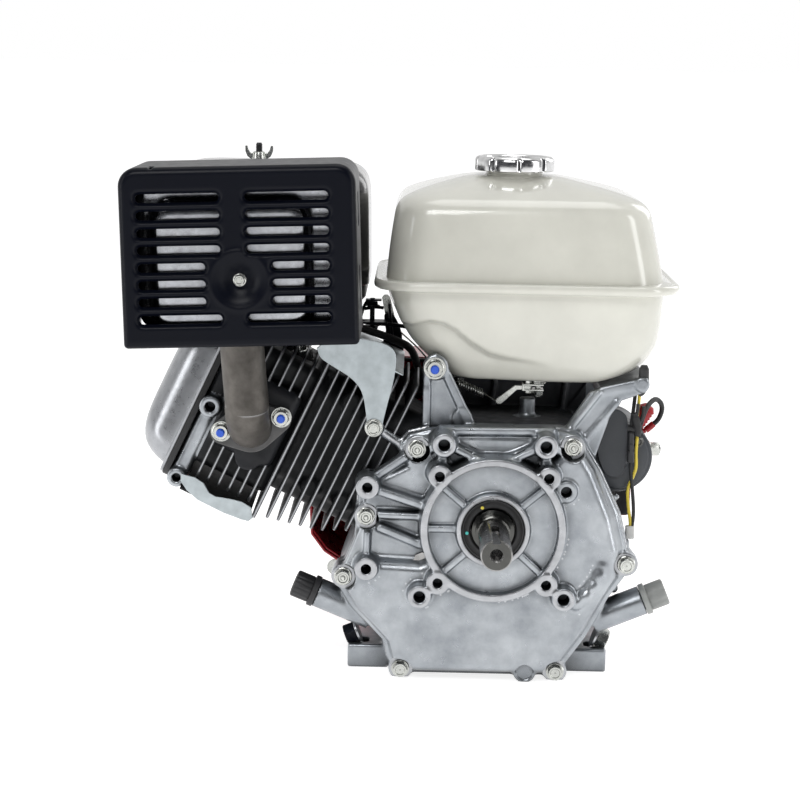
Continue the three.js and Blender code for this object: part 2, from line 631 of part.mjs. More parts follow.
function valveCoverGasket() {
  const outer = slab(roundedRect(COVER_V, CYLINDER_Y, 145, 114, 22), HEAD_TOP + GAP, 268 - GAP, 3);
  return cut(outer, slab(roundedRect(COVER_V, CYLINDER_Y, 124, 94, 14), HEAD_TOP - 1, 269, 2));
}

function valve(y, headR) {
  const face = CHAMBER_ROOF + 0.2;
  const profile = [
    [0, face], [headR, face], [headR, face + 1.4], [5, face + 7], [3.2, face + 12], [3.2, 264],
    [8, 264], [8, 267], [3.2, 267], [3.2, 270], [0, 270],
  ];
  return turned(profile, 12).rotate([90, 0, 0]).translate([VALVE_V, y, 0]);
}

function rocker(y) {
  const [u0, u1] = [271.2, 279];
  const arm = slab([[PUSHROD_V - 6, y - 5], [VALVE_V + 6, y - 5], [VALVE_V + 6, y + 5],
    [PUSHROD_V - 6, y + 5]], u0, u1);
  const boss = barZ(ROCKER_V, y, 8.5, u0, u1, 10);
  return cut(join(arm, boss), barZ(ROCKER_V, y, 5.4, u0 - 1, u1 + 1, 8));
}

function pushrod(y) {
  const lifterFace = 39 + CAM_NOSE_R + 0.6;
  return join(barZ(PUSHROD_V, y, 11, lifterFace, lifterFace + 4, 12),
    barZ(PUSHROD_V, y, 3, lifterFace + 3, 270, 6));
}

add(cylinderGroup, 'cylinder_head', cylinderHead(), blackFins);
add(cylinderGroup, 'valve_cover', valveCover(), tinPlate);
add(cylinderGroup, 'valve_cover_gasket', valveCoverGasket(), rubber);
add(cylinderGroup, 'exhaust_valve', valve(EXHAUST_Y, 15), steel);
add(cylinderGroup, 'intake_valve', valve(INTAKE_Y, 16.5), steel);
add(cylinderGroup, 'exhaust_rocker', rocker(EXHAUST_Y), steel);
add(cylinderGroup, 'intake_rocker', rocker(INTAKE_Y), steel);
add(cylinderGroup, 'exhaust_pushrod', pushrod(EXHAUST_Y), steel);
add(cylinderGroup, 'intake_pushrod', pushrod(INTAKE_Y), steel);

// ---------------------------------------------------------------- ignition
const PLUG_CAP_END = [84, 98, 200];
add(cylinderGroup, 'spark_plug', join(
  bar(plugPoint(-3), plugPoint(21), 6.9, 8),
  bar(plugPoint(20.5), plugPoint(32), 10, 6),
  bar(plugPoint(31), plugPoint(50), 5.5, 8),
), steel);
add(cylinderGroup, 'spark_plug_cap', cut(
  join(bar(plugPoint(36), plugPoint(68), 10.5, 10), bar(plugPoint(62), PLUG_CAP_END, 5.5, 8)),
  bar(plugPoint(30), plugPoint(51), 5.9, 8),
), rubber);
const LEAD_ROUTE = [
  [-63, 178.6, 97], [-63, 173, 98.5], [-64, 167, 108], [-71, 158, 128], [-85, 145, 138], [-110, 128, 149],
  [-128, 109, 157], [-142.6, 99.6, 159.6],
];
add(engine, 'ignition_lead', wire(LEAD_ROUTE, 3.5, 20, 8), rubber);

// ---------------------------------------------------------------- exhaust pipe, muffler and guard
const PORT_X = -PORT.u * Math.cos((TILT * Math.PI) / 180) + PORT.v * Math.sin((TILT * Math.PI) / 180);
const PORT_Z = PORT.u * Math.sin((TILT * Math.PI) / 180) + PORT.v * Math.cos((TILT * Math.PI) / 180);
const PIPE_R = 18;
const PIPE_Y = 6; // the upright part's centre line
const ELBOW_R = 24;
const PIPE_TOP = 160;

function pipePath(start, end) {
  const elbow = Array.from({ length: 6 }, (_, i) => {
    const a = (i / 5) * (Math.PI / 2);
    const y = PIPE_Y + ELBOW_R * (1 - Math.sin(a));
    return [PORT_X - 2 * Math.sin(a), y, PORT_Z + ELBOW_R * (1 - Math.cos(a))];
  });
  return [[PORT_X, start, PORT_Z], ...elbow, [PORT_X - 5, PIPE_Y, PORT_Z + 55], [PORT_X - 7, PIPE_Y, end]];
}

function exhaustPipe() {
  const pipe = wire(pipePath(PIPE_Y + ELBOW_R + 1, PIPE_TOP), PIPE_R, 10, 12);
  const hole = wire(pipePath(PIPE_Y + ELBOW_R + 5, PIPE_TOP + 5), PIPE_R - 3, 10, 8);
  const flange = prism([[-34, -5], [-22, -14], [22, -14], [34, -5], [34, 5], [22, 14], [-22, 14],
    [-34, 5]], 24, 31.7)
    .add(barY(0, 0, 22, 24, 31.7, 14))
    .rotate([0, -13, 0])
    .translate([PORT_X, 0, PORT_Z]);
  return cut(join(pipe, flange), hole);
}

const GUARD = { width: 188, height: 144, front: -42, back: 62, sheet: 2.2 };
const SLOT_PITCH = 13.8;
const SLOT_TOP = 47.5;

function guardSlots() {
  const rows = Array.from({ length: 8 }, (_, i) => i);
  return rows.flatMap((i) => {
    const z = SLOT_TOP - i * SLOT_PITCH;
    const nearDisc = i > 3 && i < 7;
    const leftEnd = nearDisc ? -27 : -14.5;
    const rightStart = nearDisc ? 26 : 6;
    return [
      [-80.5, leftEnd],
      [rightStart, 72],
    ].map(([x0, x1]) => box(x0, x1, GUARD.front - 1, GUARD.front + 4, z - 3.5, z + 3.5));
  });
}

function mufflerGuard() {
  const { width, height, front, back, sheet } = GUARD;
  const outer = prism(roundedRect(0, 0, width, height, 15), front, back, 4);
  const inner = prism(roundedRect(0, 0, width - 2 * sheet, height - 2 * sheet, 13),
    front + sheet, back + 1, 4);
  const pipeGap = box(-36, 30, -20, back + 1, -height / 2 - 1, -height / 2 + 12);
  const dimple = bar([0, front, -18.5], [0, front + 7, -18.5], 21, 14, 10);
  const dimpleHollow = bar([0, front - 0.1, -18.5], [0, front + 5, -18.5], 19, 14, 8);
  const boltHole = barY(0, -18.5, 4.4, front - 1, front + 12, 8);
  return cut(join(cut(outer, inner, pipeGap), dimple), dimpleHollow, boltHole, ...guardSlots());
}

const MUFFLER = { width: 170, height: 126, corner: 26, middle: 2, front: -30, back: 66, sheet: 1.6 };
function mufflerBody() {
  const { width, height, corner, middle, front, back, sheet } = MUFFLER;
  const can = (grow, y0, y1) =>
    prism(roundedRect(0, middle, width + 2 * grow, height + 2 * grow, corner + grow), y0, y1, 3);
  const inlet = barZ(0, PIPE_Y, PIPE_R - 3, middle - height / 2 - 1, middle - height / 2 + 10);
  const outlet = barY(width / 4, middle, 7, back - 10, back + 1, 10);
  return cut(join(can(0, front, back), can(3, 20, 24)), can(-sheet, front + sheet, back - sheet),
    inlet, outlet);
}

add(engine, 'exhaust_pipe', exhaustPipe(), exhaustSteel);
add(muffler, 'muffler_body', mufflerBody(), exhaustSteel);
add(muffler, 'muffler_guard', mufflerGuard(), blackPaint);

// ---------------------------------------------------------------- air cleaner, carburettor and control
const AIR = { x0: -284, x1: -108, y0: 108, y1: 250, bottom: 170, joint: 188, top: 291,
  nutX: -208.5, nutY: 178, ductY: 230 };
const CARB_BACK = 213;

function airCleanerBase() {
  const tray = loft([
    [AIR.bottom, AIR.x0 + 14, AIR.x1 - 14, AIR.y0 + 12, AIR.y1 - 12, 18],
    [AIR.bottom + 8, AIR.x0 + 4, AIR.x1 - 4, AIR.y0 + 4, AIR.y1 - 4, 20],
    [AIR.joint - GAP, AIR.x0 + 4, AIR.x1 - 4, AIR.y0 + 4, AIR.y1 - 4, 20],
  ]);
  const bowl = loft([
    [AIR.bottom + 5, AIR.x0 + 20, AIR.x1 - 20, AIR.y0 + 18, AIR.y1 - 18, 14],
    [AIR.joint + 1, AIR.x0 + 12, AIR.x1 - 12, AIR.y0 + 12, AIR.y1 - 12, 16],
  ]);
  const elbow = join(
    barZ(PORT_X, AIR.ductY, 14, PORT_Z, AIR.bottom + 6),
    bar([PORT_X, CARB_BACK + GAP, PORT_Z], [PORT_X, AIR.ductY + 14, PORT_Z], 18, 12),
  );
  const duct = barZ(PORT_X, AIR.ductY, 11, PORT_Z + 4, AIR.bottom + 8, 10);
  const stud = barZ(AIR.nutX, AIR.nutY, 3, AIR.bottom + 4, AIR.top + 15, 6);
  return join(cut(join(tray, elbow), bowl, duct), stud);
}

function airCleanerCover() {
  const skin = (inset) => [
    [AIR.joint + (inset ? -1 : 0), AIR.x0 + inset, AIR.x1 - inset, AIR.y0 + inset, AIR.y1 - inset,
      24 - inset],
    [AIR.top - 16, AIR.x0 + 2 + inset, AIR.x1 - 2 - inset, AIR.y0 + 2 + inset, AIR.y1 - 2 - inset,
      24 - inset],
    [AIR.top - 4 - inset, AIR.x0 + 9 + inset, AIR.x1 - 9 - inset, AIR.y0 + 9 + inset,
      AIR.y1 - 9 - inset, 20 - inset],
    [AIR.top - inset, AIR.x0 + 24 + inset, AIR.x1 - 24 - inset, AIR.y0 + 24 + inset,
      AIR.y1 - 24 - inset, 16 - inset],
  ];
  return cut(loft(skin(0)), loft(skin(3)), barZ(AIR.nutX, AIR.nutY, 3.4, AIR.top - 10, AIR.top + 2, 8));
}

function wingNut() {
  const hub = barZ(AIR.nutX, AIR.nutY, 6.5, AIR.top + GAP, AIR.top + 8, 8);
  const wings = [-1, 1].map((side) =>
    prism([[side * 4, AIR.top + 1.5], [side * 13, AIR.top + 5], [side * 16, AIR.top + 13],
      [side * 11, AIR.top + 12], [side * 8, AIR.top + 8], [side * 4, AIR.top + 7]]
      .map(([x, z]) => [x + AIR.nutX, z]), AIR.nutY - 1.5, AIR.nutY + 1.5),
  );
  return cut(join(hub, ...wings), barZ(AIR.nutX, AIR.nutY, 3.4, AIR.top - 1, AIR.top + 20, 8));
}

function filterElement() {
  const ring = loft([
    [AIR.joint + 0.5, AIR.x0 + 22, AIR.x1 - 22, AIR.y0 + 20, AIR.y1 - 20, 22],
    [AIR.top - 14, AIR.x0 + 22, AIR.x1 - 22, AIR.y0 + 20, AIR.y1 - 20, 22],
  ]);
  return cut(ring, loft([
    [AIR.joint - 1, AIR.x0 + 46, AIR.x1 - 46, AIR.y0 + 42, AIR.y1 - 42, 12],
    [AIR.top - 10, AIR.x0 + 46, AIR.x1 - 46, AIR.y0 + 42, AIR.y1 - 42, 12],
  ]));
}

const FUEL_VALVE = { x: PORT_X + 24, y: 213, z: PORT_Z - 34 };
function carburettor() {
  const body = bar([PORT_X, 174.5, PORT_Z], [PORT_X, CARB_BACK, PORT_Z], 17, 12);
  const mount = box(PORT_X - 30, PORT_X + 30, 174.5, 182, PORT_Z - 14, PORT_Z + 14);
  const bowl = barZ(PORT_X, 193.5, 19, PORT_Z - 50, PORT_Z - 10);
  const throat = bar([PORT_X, 173, PORT_Z], [PORT_X, CARB_BACK + 1, PORT_Z], 12, 10);
  const tower = barZ(PORT_X, 192, 7, PORT_Z + 10, PORT_Z + 26, 8);
  const valveBoss = barY(FUEL_VALVE.x, FUEL_VALVE.z, 8, 195, FUEL_VALVE.y, 10);
  return cut(join(body, mount, bowl, tower, valveBoss), throat);
}

function fuelValveLever() {
  const { x, y, z } = FUEL_VALVE;
  return join(barY(x, z, 7, y + GAP, y + 8, 10), box(x - 4, x + 4, y + 2, y + 7, z - 30, z));
}

const CHOKE = { x: PORT_X, y: 206, z: PORT_Z + 20 };
function chokeLever() {
  const { x, y, z } = CHOKE;
  const pivot = barZ(x, y, 4, z - 2, z + 6, 8);
  return join(pivot, box(x - 34, x + 4, y - 4, y + 4, z + 3, z + 6), barZ(x - 32, y, 5, z + 2, z + 16, 8));
}

const CONTROL = { x: -86, y: 175, z: 138 };
function controlBracket() {
  const upright = prism([[-97, 122], [-79, 122], [-80, 142], [-88, 158], [-95, 158], [-94, 142]], 170, 175);
  const shelf = box(-120, -92, 150, 175, 150, 154);
  return join(upright, shelf, barZ(-106, 162, 3.4, 144, 166), barZ(-106, 162, 6, 165, 170, 8));
}
function throttleLever() {
  const { x, y, z } = CONTROL;
  const arm = prism([[x - 5, z], [x + 4, z], [x - 5, z + 36], [x - 12, z + 35]], y + 3, y + 6);
  return join(barY(x, z, 7, y + GAP, y + 9, 8), arm);
}

add(engine, 'air_cleaner_base', airCleanerBase(), blackPlastic);
add(engine, 'air_cleaner_cover', airCleanerCover(), blackPlastic);
add(engine, 'air_filter_element', filterElement(), paper);
add(engine, 'wing_nut', wingNut(), zinc);
add(engine, 'carburettor', carburettor(), castAluminium);
add(engine, 'choke_lever', chokeLever(), blackPlastic);
add(engine, 'control_bracket', controlBracket(), blackPaint);
add(engine, 'throttle_lever', throttleLever(), zinc);
add(engine, 'fuel_valve_lever', fuelValveLever(), blackPlastic);

// ---------------------------------------------------------------- fuel tank
const TANK = { y0: 24, y1: 226, seam: 199, bottom: 117, capX: 14, capY: 112, sheet: 2.5 };
const SEAM_LIP = [-101, 150, TANK.y0 - 7, TANK.y1 + 7, 40];

function fuelTank() {
  const upper = (t) => [
    [TANK.seam - (t ? 1 : 0), -93 + t, 139 - t, TANK.y0 + t, TANK.y1 - t, 36 - t],
    [232, -90 + t, 133 - t, TANK.y0 + 3 + t, TANK.y1 - 3 - t, 36 - t],
    [266 - t, -85 + t, 125 - t, TANK.y0 + 8 + t, TANK.y1 - 8 - t, 34 - t],
    [274 - t, -77 + t, 112 - t, TANK.y0 + 16 + t, TANK.y1 - 16 - t, 30 - t],
    [283 - t, -52 + t, 82 - t, TANK.y0 + 42 + t, TANK.y1 - 42 - t, 26 - t],
    [287 - t, -34 + t, 62 - t, TANK.y0 + 58 + t, TANK.y1 - 58 - t, 22 - t],
  ];
  const lower = (t) => [
    [TANK.bottom + t, -26 + t, 90 - t, 60 + t, 156 - t, 16 - t],
    [TANK.bottom + 5 + t, -42 + t, 104 - t, 50 + t, 163 - t, 24 - t],
    [132 + t, -54 + t, 126 - t, 42 + t, 167 - t, 30 - t],
    [147, -69 + t, 136 - t, 36 + t, 178 - t, 34 - t],
    [172, -83 + t, 139 - t, 29 + t, 204 - t, 36 - t],
    [TANK.seam + (t ? 1 : 0), -93 + t, 139 - t, TANK.y0 + t, TANK.y1 - t, 36 - t],
  ];
  const seam = loft([[TANK.seam - 4, ...SEAM_LIP], [TANK.seam + 4, ...SEAM_LIP]], 3);
  const neck = barZ(TANK.capX, TANK.capY, 24, 280, 290, 16);
  const mouth = barZ(TANK.capX, TANK.capY, 20, 270, 295, 14);
  const legRelief = prism([[-110, 100], [-110, 152], [-50, 154], [-26, 132], [-8, 100]], 0, 58);
  const shelfRelief = prism([[84, 100], [84, 116], [90, 118], [129, 128], [129, 100]], 20, CASE_BACK - 6);
  const reliefWalls = join(legRelief.translate([0, TANK.sheet, 0]),
    shelfRelief.translate([0, 0, TANK.sheet]));
  const outside = cut(join(loft(upper(0), 3), loft(lower(0), 3), seam, neck), legRelief, shelfRelief);
  return cut(outside, loft(upper(TANK.sheet), 3), cut(loft(lower(TANK.sheet), 3), reliefWalls), mouth);
}

function fuelCap() {
  const body = barZ(TANK.capX, TANK.capY, 34, 290 + GAP, 303, 16);
  const lobes = polygon(8, 29).map(([x, y]) => barZ(TANK.capX + x, TANK.capY + y, 8.5, 292, 302, 8));
  const plug = barZ(TANK.capX, TANK.capY, 18.5, 276, 291, 12);
  return join(body, ...lobes, plug);
}

add(engine, 'fuel_tank', fuelTank(), tankPaint);
add(engine, 'fuel_cap', fuelCap(), zinc);

// ---------------------------------------------------------------- sheet-metal air shrouds
function upperShroud() {
  const face = [
    [-148, 141], [-145, 134], [-121.5, 120], [-112, 109], [-108, 92], [-108, 80], [-104, 73], [-97, 72],
    [-92.5, 79], [-94, 92], [-84.5, 116], [-81, 138], [-90, 150], [-116, 154],
  ];
  const front = cut(prism(face, 30, 32), barY(-100.5, 80, 4, 29, 33, 8));
  const top = inclined(box(79.4, 81, 30, 168, 122, 177));
  return join(front, top);
}

function lowerShroud() {
  const plate = inclined(box(-89.5, -88, 34, 168, 185, 248));
  const lip = inclined(box(-96, -88, 34, 35.6, 190, 240));
  const notch = inclined(box(-100, -80, 30, 46, 206, 214));
  return cut(join(plate, lip), notch);
}

add(engine, 'air_shroud_upper', upperShroud(), tinPlate);
add(engine, 'air_shroud_lower', lowerShroud(), tinPlate);

// ---------------------------------------------------------------- governor
function governorArm() {
  const shaft = barZ(GOVERNOR.x, GOVERNOR.y, 4, GOVERNOR.z + GAP, 114, 8);
  const clamp = box(24, 44, 93, 107, 103, 109);
  const lever = prism([[32, 104], [32, 108], [19, 108], [3, 95.5], [3, 91], [8, 91], [21, 104]], 95, 98);
  return cut(join(shaft, clamp, lever), barY(5.6, 93.4, 1.2, 94, 99, 6));
}

function governorSpring() {
  const coil = Array.from({ length: 25 }, (_, i) => {
    const turn = (i / 6) * 2 * Math.PI;
    const share = i / 24;
    return [-32 + 22 * share, 96 + 3.2 * Math.cos(turn), 109 - 9 * share + 3.2 * Math.sin(turn)];
  });
  const route = [[-80, 167, 142], [-63, 141, 130], [-45, 112, 113], ...coil, [-4, 98, 97],
    [1.4, 96.5, 93.4]];
  return wire(route, 0.7, 48, 4);
}

add(engine, 'governor_arm', governorArm(), zinc);
add(engine, 'governor_spring', governorSpring(), steel);

// ---------------------------------------------------------------- fan cover, recoil starter, ignition coil
const SWITCH = { x: 122, z: -3, y: 246 };
const FAN = { y0: 171, y1: 262, r: 114, opening: 74, sheet: 2.5 };

function fanShape(inset) {
  const shape = new THREE.Shape();
  const r = FAN.r - inset;
  const start = THREE.MathUtils.degToRad(-115);
  shape.absarc(0, 0, r, start, THREE.MathUtils.degToRad(95), false);
  for (const [x, z, dx, dz] of [
    [-60, 120, 0, -1], [-96, 118, 0.5, -1], [-140, 84, 1, -0.5], [-159, 20, 1, 0], [-160, -44, 1, 0.5],
    [-131, -70, 0, 1], [-100, -86, 0, 1],
  ]) {
    shape.lineTo(x + dx * inset, z + dz * inset);
  }
  return shape;
}

function fanCover() {
  const outer = prism(fanShape(0), FAN.y0, FAN.y1, 14);
  const inner = prism(fanShape(FAN.sheet), FAN.y0 - 1, FAN.y1 - FAN.sheet, 14);
  const switchBox = box(111, 132, 204, 246, -28, 22);
  const switchPocket = box(SWITCH.x - 8, SWITCH.x + 8, SWITCH.y - 5, SWITCH.y + 1, SWITCH.z - 15,
    SWITCH.z + 15);
  const opening = barY(0, 0, FAN.opening, FAN.y1 - 5, FAN.y1 + 1, 24);
  return cut(join(cut(outer, inner), cut(switchBox, inner)), opening, switchPocket);
}

function engineSwitch() {
  const rocker = box(SWITCH.x - 7, SWITCH.x + 7, SWITCH.y - 1, SWITCH.y + 2, SWITCH.z - 13, SWITCH.z + 13);
  const raised = box(SWITCH.x - 7, SWITCH.x + 7, SWITCH.y + 1, SWITCH.y + 5, SWITCH.z, SWITCH.z + 13);
  return join(rocker, raised);
}

const ROPE = { y: 286, z: 60 };
const POST_R = 9;
function recoilHousing() {
  const shell = turned([
    [0, 315], [40, 315], [82, 307], [90, 299], [92, FAN.y1 + GAP], [95, FAN.y1 + GAP], [93, 300], [84, 310],
    [40, 318], [0, 318],
  ], 24);
  const vents = Array.from({ length: 10 }, (_, i) =>
    box(46, 74, 300, 322, -3.5, 3.5).rotate([0, i * 36, 0]));
  const ropeHole = bar([-40, ROPE.y, ROPE.z], [-120, ROPE.y, ROPE.z], 6, 8);
  return join(cut(shell, ...vents, ropeHole), barY(0, 0, POST_R, 270, 316, 12));
}

function starterPulley() {
  const reel = turned([
    [0, 276], [64, 276], [64, 280], [52, 281], [52, 291], [64, 292], [64, 296], [0, 296],
  ], 20);
  return cut(reel, barY(0, 0, POST_R + 0.4, 270, 300, 12));
}

function recoilGrip() {
  const handle = loft([
    [ROPE.z - 22, -120, -107, ROPE.y - 7, ROPE.y + 7, 5],
    [ROPE.z + 22, -120, -107, ROPE.y - 7, ROPE.y + 7, 5],
  ]);
  return join(handle, bar([-68, ROPE.y, ROPE.z], [-108, ROPE.y, ROPE.z], 2.5, 6));
}

function ignitionCoil() {
  const core = box(-76, -50, 180, 200, 88, 104);
  const legs = [box(-76, -69, 180, 200, 76, 90), box(-57, -50, 180, 200, 86, 90)];
  return join(core, ...legs);
}

add(engine, 'fan_cover', fanCover(), redPaint);
add(engine, 'engine_switch', engineSwitch(), blackPlastic);
add(engine, 'recoil_housing', recoilHousing(), redPaint);
add(engine, 'starter_pulley', starterPulley(), greyPlastic);
add(engine, 'recoil_grip', recoilGrip(), blackPlastic);
add(engine, 'ignition_coil', ignitionCoil(), blackPlastic);

// ---------------------------------------------------------------- electric starter and its wiring
const STUD = { from: [118, 112, 62], to: [134, 112, 86] };
const studPoint = (t) => STUD.from.map((c, i) => c + (t * (STUD.to[i] - c)));

function starterMotor() {
  const can = barY(STARTER_X, STARTER_Z, STARTER_R, 66, 168, 20);
  const nose = barY(STARTER_X, STARTER_Z, STARTER_R - 4, 62.5, 67, 16);
  const post = bar([STARTER_X + 20, 110, STARTER_Z], [STARTER_X + 40, 110, STARTER_Z], 6.5, 6);
  return join(can, nose, post, bar(studPoint(0), studPoint(0.8), 2.8, 6));
}

const CABLE_ROUTE = [
  [122, 57, 72], [125, 63, 84], [131, 78, 94], [139, 95, 98], [145, 104, 94], [147, 109, 87],
  [144.5, 112, 78], [138, 112.5, 71.5],
];
add(engine, 'starter_motor', starterMotor(), blackPaint);
add(engine, 'starter_cable', wire(CABLE_ROUTE, 2.15, 18, 8), rubber);

// ---------------------------------------------------------------- into the row frame
engine.position.set(0, -BASE_CENTRE_Y, SHAFT_HEIGHT);
const part = new THREE.Group();
part.add(engine);

export default part;
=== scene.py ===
"""Looks for a small single-cylinder petrol engine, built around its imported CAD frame.

Lengths are written in millimetres in the engine's own frame: X right, Z up from the crankshaft axis, and
Y along the crankshaft from the drive flange's face (y = 0) to the recoil starter. Cylinder parts use the
cylinder's frame: v up across it, y as before, u along it from the crankshaft.
"""

import math

import bmesh
import bpy
import numpy as np
import openvdb
from mathutils import Matrix, Vector


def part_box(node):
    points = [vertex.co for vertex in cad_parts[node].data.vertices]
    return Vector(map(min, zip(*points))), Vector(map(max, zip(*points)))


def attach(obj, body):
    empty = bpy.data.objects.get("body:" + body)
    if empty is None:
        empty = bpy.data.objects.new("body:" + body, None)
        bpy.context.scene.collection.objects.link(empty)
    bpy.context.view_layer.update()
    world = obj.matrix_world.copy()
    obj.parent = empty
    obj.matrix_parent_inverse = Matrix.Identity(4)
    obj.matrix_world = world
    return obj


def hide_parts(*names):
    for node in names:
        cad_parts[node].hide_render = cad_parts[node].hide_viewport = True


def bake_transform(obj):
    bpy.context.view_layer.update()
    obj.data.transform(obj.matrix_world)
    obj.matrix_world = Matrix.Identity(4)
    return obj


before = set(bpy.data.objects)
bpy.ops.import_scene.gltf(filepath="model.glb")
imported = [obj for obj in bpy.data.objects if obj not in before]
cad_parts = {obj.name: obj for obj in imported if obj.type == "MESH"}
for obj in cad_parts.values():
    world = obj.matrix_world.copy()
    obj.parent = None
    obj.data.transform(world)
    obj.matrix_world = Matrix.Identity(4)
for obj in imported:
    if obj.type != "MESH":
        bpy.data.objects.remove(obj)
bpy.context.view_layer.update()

# ------------------------------------------------------------------ frames
MM = 0.001
SEAL_FRONT = 2.0
seal_lo, seal_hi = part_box("oil_seal")
ORIGIN = Vector(((seal_lo.x + seal_hi.x) / 2, seal_lo.y - SEAL_FRONT * MM, (seal_lo.z + seal_hi.z) / 2))
ENGINE = Matrix.Translation(ORIGIN) @ Matrix.Scale(MM, 4)
TILT = 25.0
CYLINDER_Y = 104
MUFFLER_X = -208.5
CYLINDER = ENGINE @ Matrix.Rotation(math.radians(TILT - 90), 4, "Y")
MUFFLER = ENGINE @ Matrix.Translation((MUFFLER_X, 0, 226.5)) @ Matrix.Rotation(math.radians(-2.3), 4, "Y")
BLOCK = "engine_block"


# ------------------------------------------------------------------ camera, light and floor
def stage():
    scene = bpy.context.scene
    camera = bpy.data.objects.new("camera", bpy.data.cameras.new("camera"))
    scene.collection.objects.link(camera)
    camera.data.lens = 101.17
    camera.data.sensor_width = 36
    camera.data.clip_end = 50
    turn = (
        Matrix.Rotation(math.radians(0.395), 4, "Z")
        @ Matrix.Rotation(math.radians(80.846), 4, "X")
        @ Matrix.Rotation(math.radians(1.1155), 4, "Z")
    )
    camera.matrix_world = Matrix.Translation((-0.0664, -1.9361, 0.5333)) @ turn
    scene.camera = camera
    scene.view_settings.view_transform = "Standard"

    world = bpy.data.worlds.new("studio")
    scene.world = world
    world.use_nodes = True
    nodes, links = world.node_tree.nodes, world.node_tree.links
    background = nodes["Background"]
    coords = nodes.new("ShaderNodeTexCoord")
    split = nodes.new("ShaderNodeSeparateXYZ")
    ramp = nodes.new("ShaderNodeValToRGB")
    links.new(coords.outputs["Generated"], split.inputs[0])
    remap = nodes.new("ShaderNodeMapRange")
    remap.inputs["From Min"].default_value = -1
    links.new(split.outputs["Y"], remap.inputs["Value"])
    links.new(remap.outputs[0], ramp.inputs[0])
    ramp.color_ramp.elements[0].position = 0.30
    ramp.color_ramp.elements[0].color = (0.07, 0.072, 0.078, 1)
    ramp.color_ramp.elements[1].position = 0.62
    ramp.color_ramp.elements[1].color = (1, 1, 1, 1)
    links.new(ramp.outputs[0], background.inputs["Color"])
    above = nodes.new("ShaderNodeMapRange")
    for socket, value in (("From Min", 0.05), ("From Max", 0.14), ("To Min", 1.0), ("To Max", 0.72)):
        above.inputs[socket].default_value = value
    links.new(split.outputs["Z"], above.inputs["Value"])
    links.new(above.outputs[0], background.inputs["Strength"])

    floor_mesh = bpy.data.meshes.new("floor")
    size, depth = 14, 40
    floor_mesh.from_pydata([(-size, -size, 0), (size, -size, 0), (size, depth, 0), (-size, depth, 0)], [],
                           [(0, 1, 2, 3)])
    floor = bpy.data.objects.new("floor", floor_mesh)
    scene.collection.objects.link(floor)
    paint = bpy.data.materials.new("floor")
    paint.use_nodes = True
    shader = paint.node_tree.nodes["Principled BSDF"]
    shader.inputs["Base Color"].default_value = (0.55, 0.55, 0.55, 1)
    shader.inputs["Roughness"].default_value = 0.8
    shader.inputs["Emission Color"].default_value = (1, 1, 1, 1)
    shader.inputs["Emission Strength"].default_value = 0.80
    floor_mesh.materials.append(paint)

    target = Vector((-0.04, 0, 0.2))
    for name, spot, size_x, size_y, power in [
        ("key", (-0.6, -2.0, 1.9), 1.2, 0.9, 24),
        ("fill", (1.9, -1.0, 0.9), 0.5, 1.8, 13),
        ("left", (-2.0, -0.9, 0.6), 0.5, 1.8, 11),
        ("top", (0.1, 0.1, 2.2), 1.2, 1.2, 9),
        ("rim", (1.3, 1.3, 1.2), 0.8, 1.2, 8),
    ]:
        light = bpy.data.objects.new(name, bpy.data.lights.new(name, "AREA"))
        light.data.shape = "RECTANGLE"
        light.data.size, light.data.size_y, light.data.energy = size_x, size_y, power
        light.location = spot
        light.rotation_euler = (target - Vector(spot)).to_track_quat("-Z", "Y").to_euler()
        scene.collection.objects.link(light)


stage()


